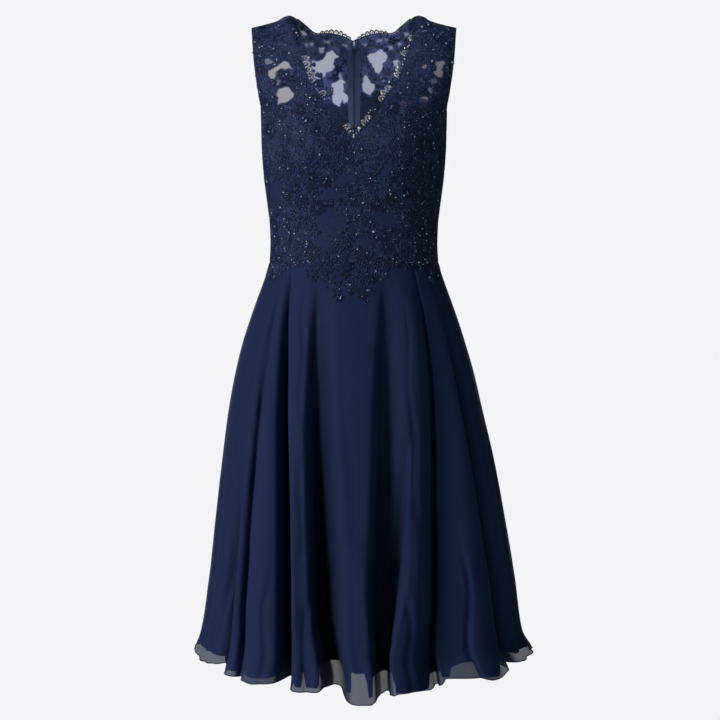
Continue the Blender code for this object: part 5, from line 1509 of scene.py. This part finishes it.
def make_zip():
    levels = np.linspace(*TAPE_ENDS, TAPE_ROWS)
    for side, word in ((1, "left"), (-1, "right")):
        rows = [back_seam(np.full(len(levels), across), levels, -tape_inset(levels) - step) * (side, 1, 1)
                for across, step in TAPE_COLUMNS]
        piece = new_piece("tape_zip_" + word, np.stack(rows, 0), grid_faces(len(rows), len(levels)),
                          TAPE, ("zip_tape_" + word,))
    teeth = Parts()
    marks = np.linspace(*TEETH_ENDS, TEETH)
    corners = np.array([(x, y, z) for x in (-1, 1) for y in (-1, 1) for z in (-1, 1)]) * TOOTH_SIZE
    faces = [(0, 1, 3, 2), (4, 6, 7, 5), (0, 4, 5, 1), (2, 3, 7, 6), (0, 2, 6, 4), (1, 5, 7, 3)]
    for k, place in enumerate(back_seam(np.full(len(marks), 0.00001), marks, -tape_inset(marks) - 0.0010)):
        teeth.add(place + corners + ((1 if k % 2 else -1) * TOOTH_SHIFT, 0, 0), faces)
    teeth.piece("teeth_zip", "navy_metal", LINING, smooth=False)
    for node in ("zip_slider", "zip_pull"):
        for slot in bpy.data.objects[node].material_slots:
            slot.material = METAL


# ---------------------------------------------------------------- camera, light and floor

CAMERA, CAMERA_AIM = (0.0092, -3.1, -0.355), (0.0092, 0, -0.5227)
SENSOR, LENS = 36, 101.6
# name, place, target, power, size
SOFT_LIGHTS = (("key_left_front", (-2.7, -2.3, 0.7), (0, 0, -0.45), 105, (1.0, 1.8)),
               ("rim_left", (-2.5, 0.3, -0.2), (0, 0, -0.5), 6, (0.8, 2.4)),
               ("fill_front", (0.3, -3.4, 0.5), (0, 0, -0.5), 9, (1.2, 1.6)),
               ("back_soft", (-0.4, 3.1, 0.9), (0, 0, -0.5), 38, (2.0, 2.4)))
# name, place, target, power, cone, colour
SPOTS = (("neck_light", (0.10, -1.75, 1.35), (0.0, 0.08, -0.080), 520, 3.9, (1, 1, 1)),
         ("yoke_light", (0.60, -2.8, 0.50), (0.00, -0.07, -0.10), 66, 8.0, (1, 1, 1)),
         ("side_light", (2.2, -2.3, 0.30), (0.10, -0.05, -0.25), 38, 13.5, (1.0, 0.76, 0.60)),
         ("skirt_light", (1.9, -2.6, -0.20), (0.17, -0.12, -0.68), 34, 13.0, (1, 1, 1)))
SPOT_RADIUS = 0.12
FLOOR_LEVEL, FLOOR_HALF = -1.6, 1.9
BACKDROP = (0.905, 0.905, 0.920, 1)       # what the camera sees behind the dress
DAYLIGHT, DAYLIGHT_STRENGTH = (0.90, 0.92, 1.0, 1), 0.05


def placed(name, data, at=(0, 0, 0), target=None):
    """Adds an object to the scene, turned so that it looks at the target."""
    thing = bpy.data.objects.new(name, data)
    thing.location = at
    if target:
        thing.rotation_euler = (Vector(target) - thing.location).to_track_quat("-Z", "Y").to_euler()
    bpy.context.scene.collection.objects.link(thing)
    return thing


def make_lights():
    for name, at, target, power, size in SOFT_LIGHTS:
        data = bpy.data.lights.new(name, "AREA")
        data.energy, data.shape = power, "RECTANGLE"
        data.size, data.size_y = size
        placed(name, data, at, target)
    for name, at, target, power, cone, colour in SPOTS:
        data = bpy.data.lights.new(name, "SPOT")
        data.energy, data.color = power, colour
        data.spot_size, data.spot_blend, data.shadow_soft_size = math.radians(cone), 1.0, SPOT_RADIUS
        placed(name, data, at, target)


def make_world():
    """Pale where the camera sees it, and a weak light everywhere else."""
    world = bpy.data.worlds.new("studio")
    bpy.context.scene.world = world
    world.use_nodes = True
    nodes, links = world.node_tree.nodes, world.node_tree.links
    shown, lit = nodes["Background"], nodes.new("ShaderNodeBackground")
    for background, colour, strength in ((shown, BACKDROP, 1.0), (lit, DAYLIGHT, DAYLIGHT_STRENGTH)):
        background.inputs["Color"].default_value = colour
        background.inputs["Strength"].default_value = strength
    mix = nodes.new("ShaderNodeMixShader")
    links.new(nodes.new("ShaderNodeLightPath").outputs["Is Camera Ray"], mix.inputs["Fac"])
    links.new(lit.outputs["Background"], mix.inputs[1])
    links.new(shown.outputs["Background"], mix.inputs[2])
    links.new(mix.outputs["Shader"], nodes["World Output"].inputs["Surface"])


def make_studio():
    bpy.context.scene.view_settings.view_transform = "Standard"
    camera = placed("camera", bpy.data.cameras.new("camera"), CAMERA, CAMERA_AIM)
    camera.data.sensor_width, camera.data.lens = SENSOR, LENS
    bpy.context.scene.camera = camera
    make_lights()
    make_world()
    floor_mesh = bpy.data.meshes.new("floor")
    floor_mesh.from_pydata([(x * FLOOR_HALF, y * FLOOR_HALF, FLOOR_LEVEL) for x, y in
                            ((-1, -1), (1, -1), (1, 1), (-1, 1))], [], [(0, 1, 2, 3)])
    floor_mesh.materials.append(floor_material())
    placed("floor", floor_mesh)


make_studio()
make_bodice_lining()
make_bodice()
make_edgings()
make_skirt()
make_waist_lace()
make_zip()
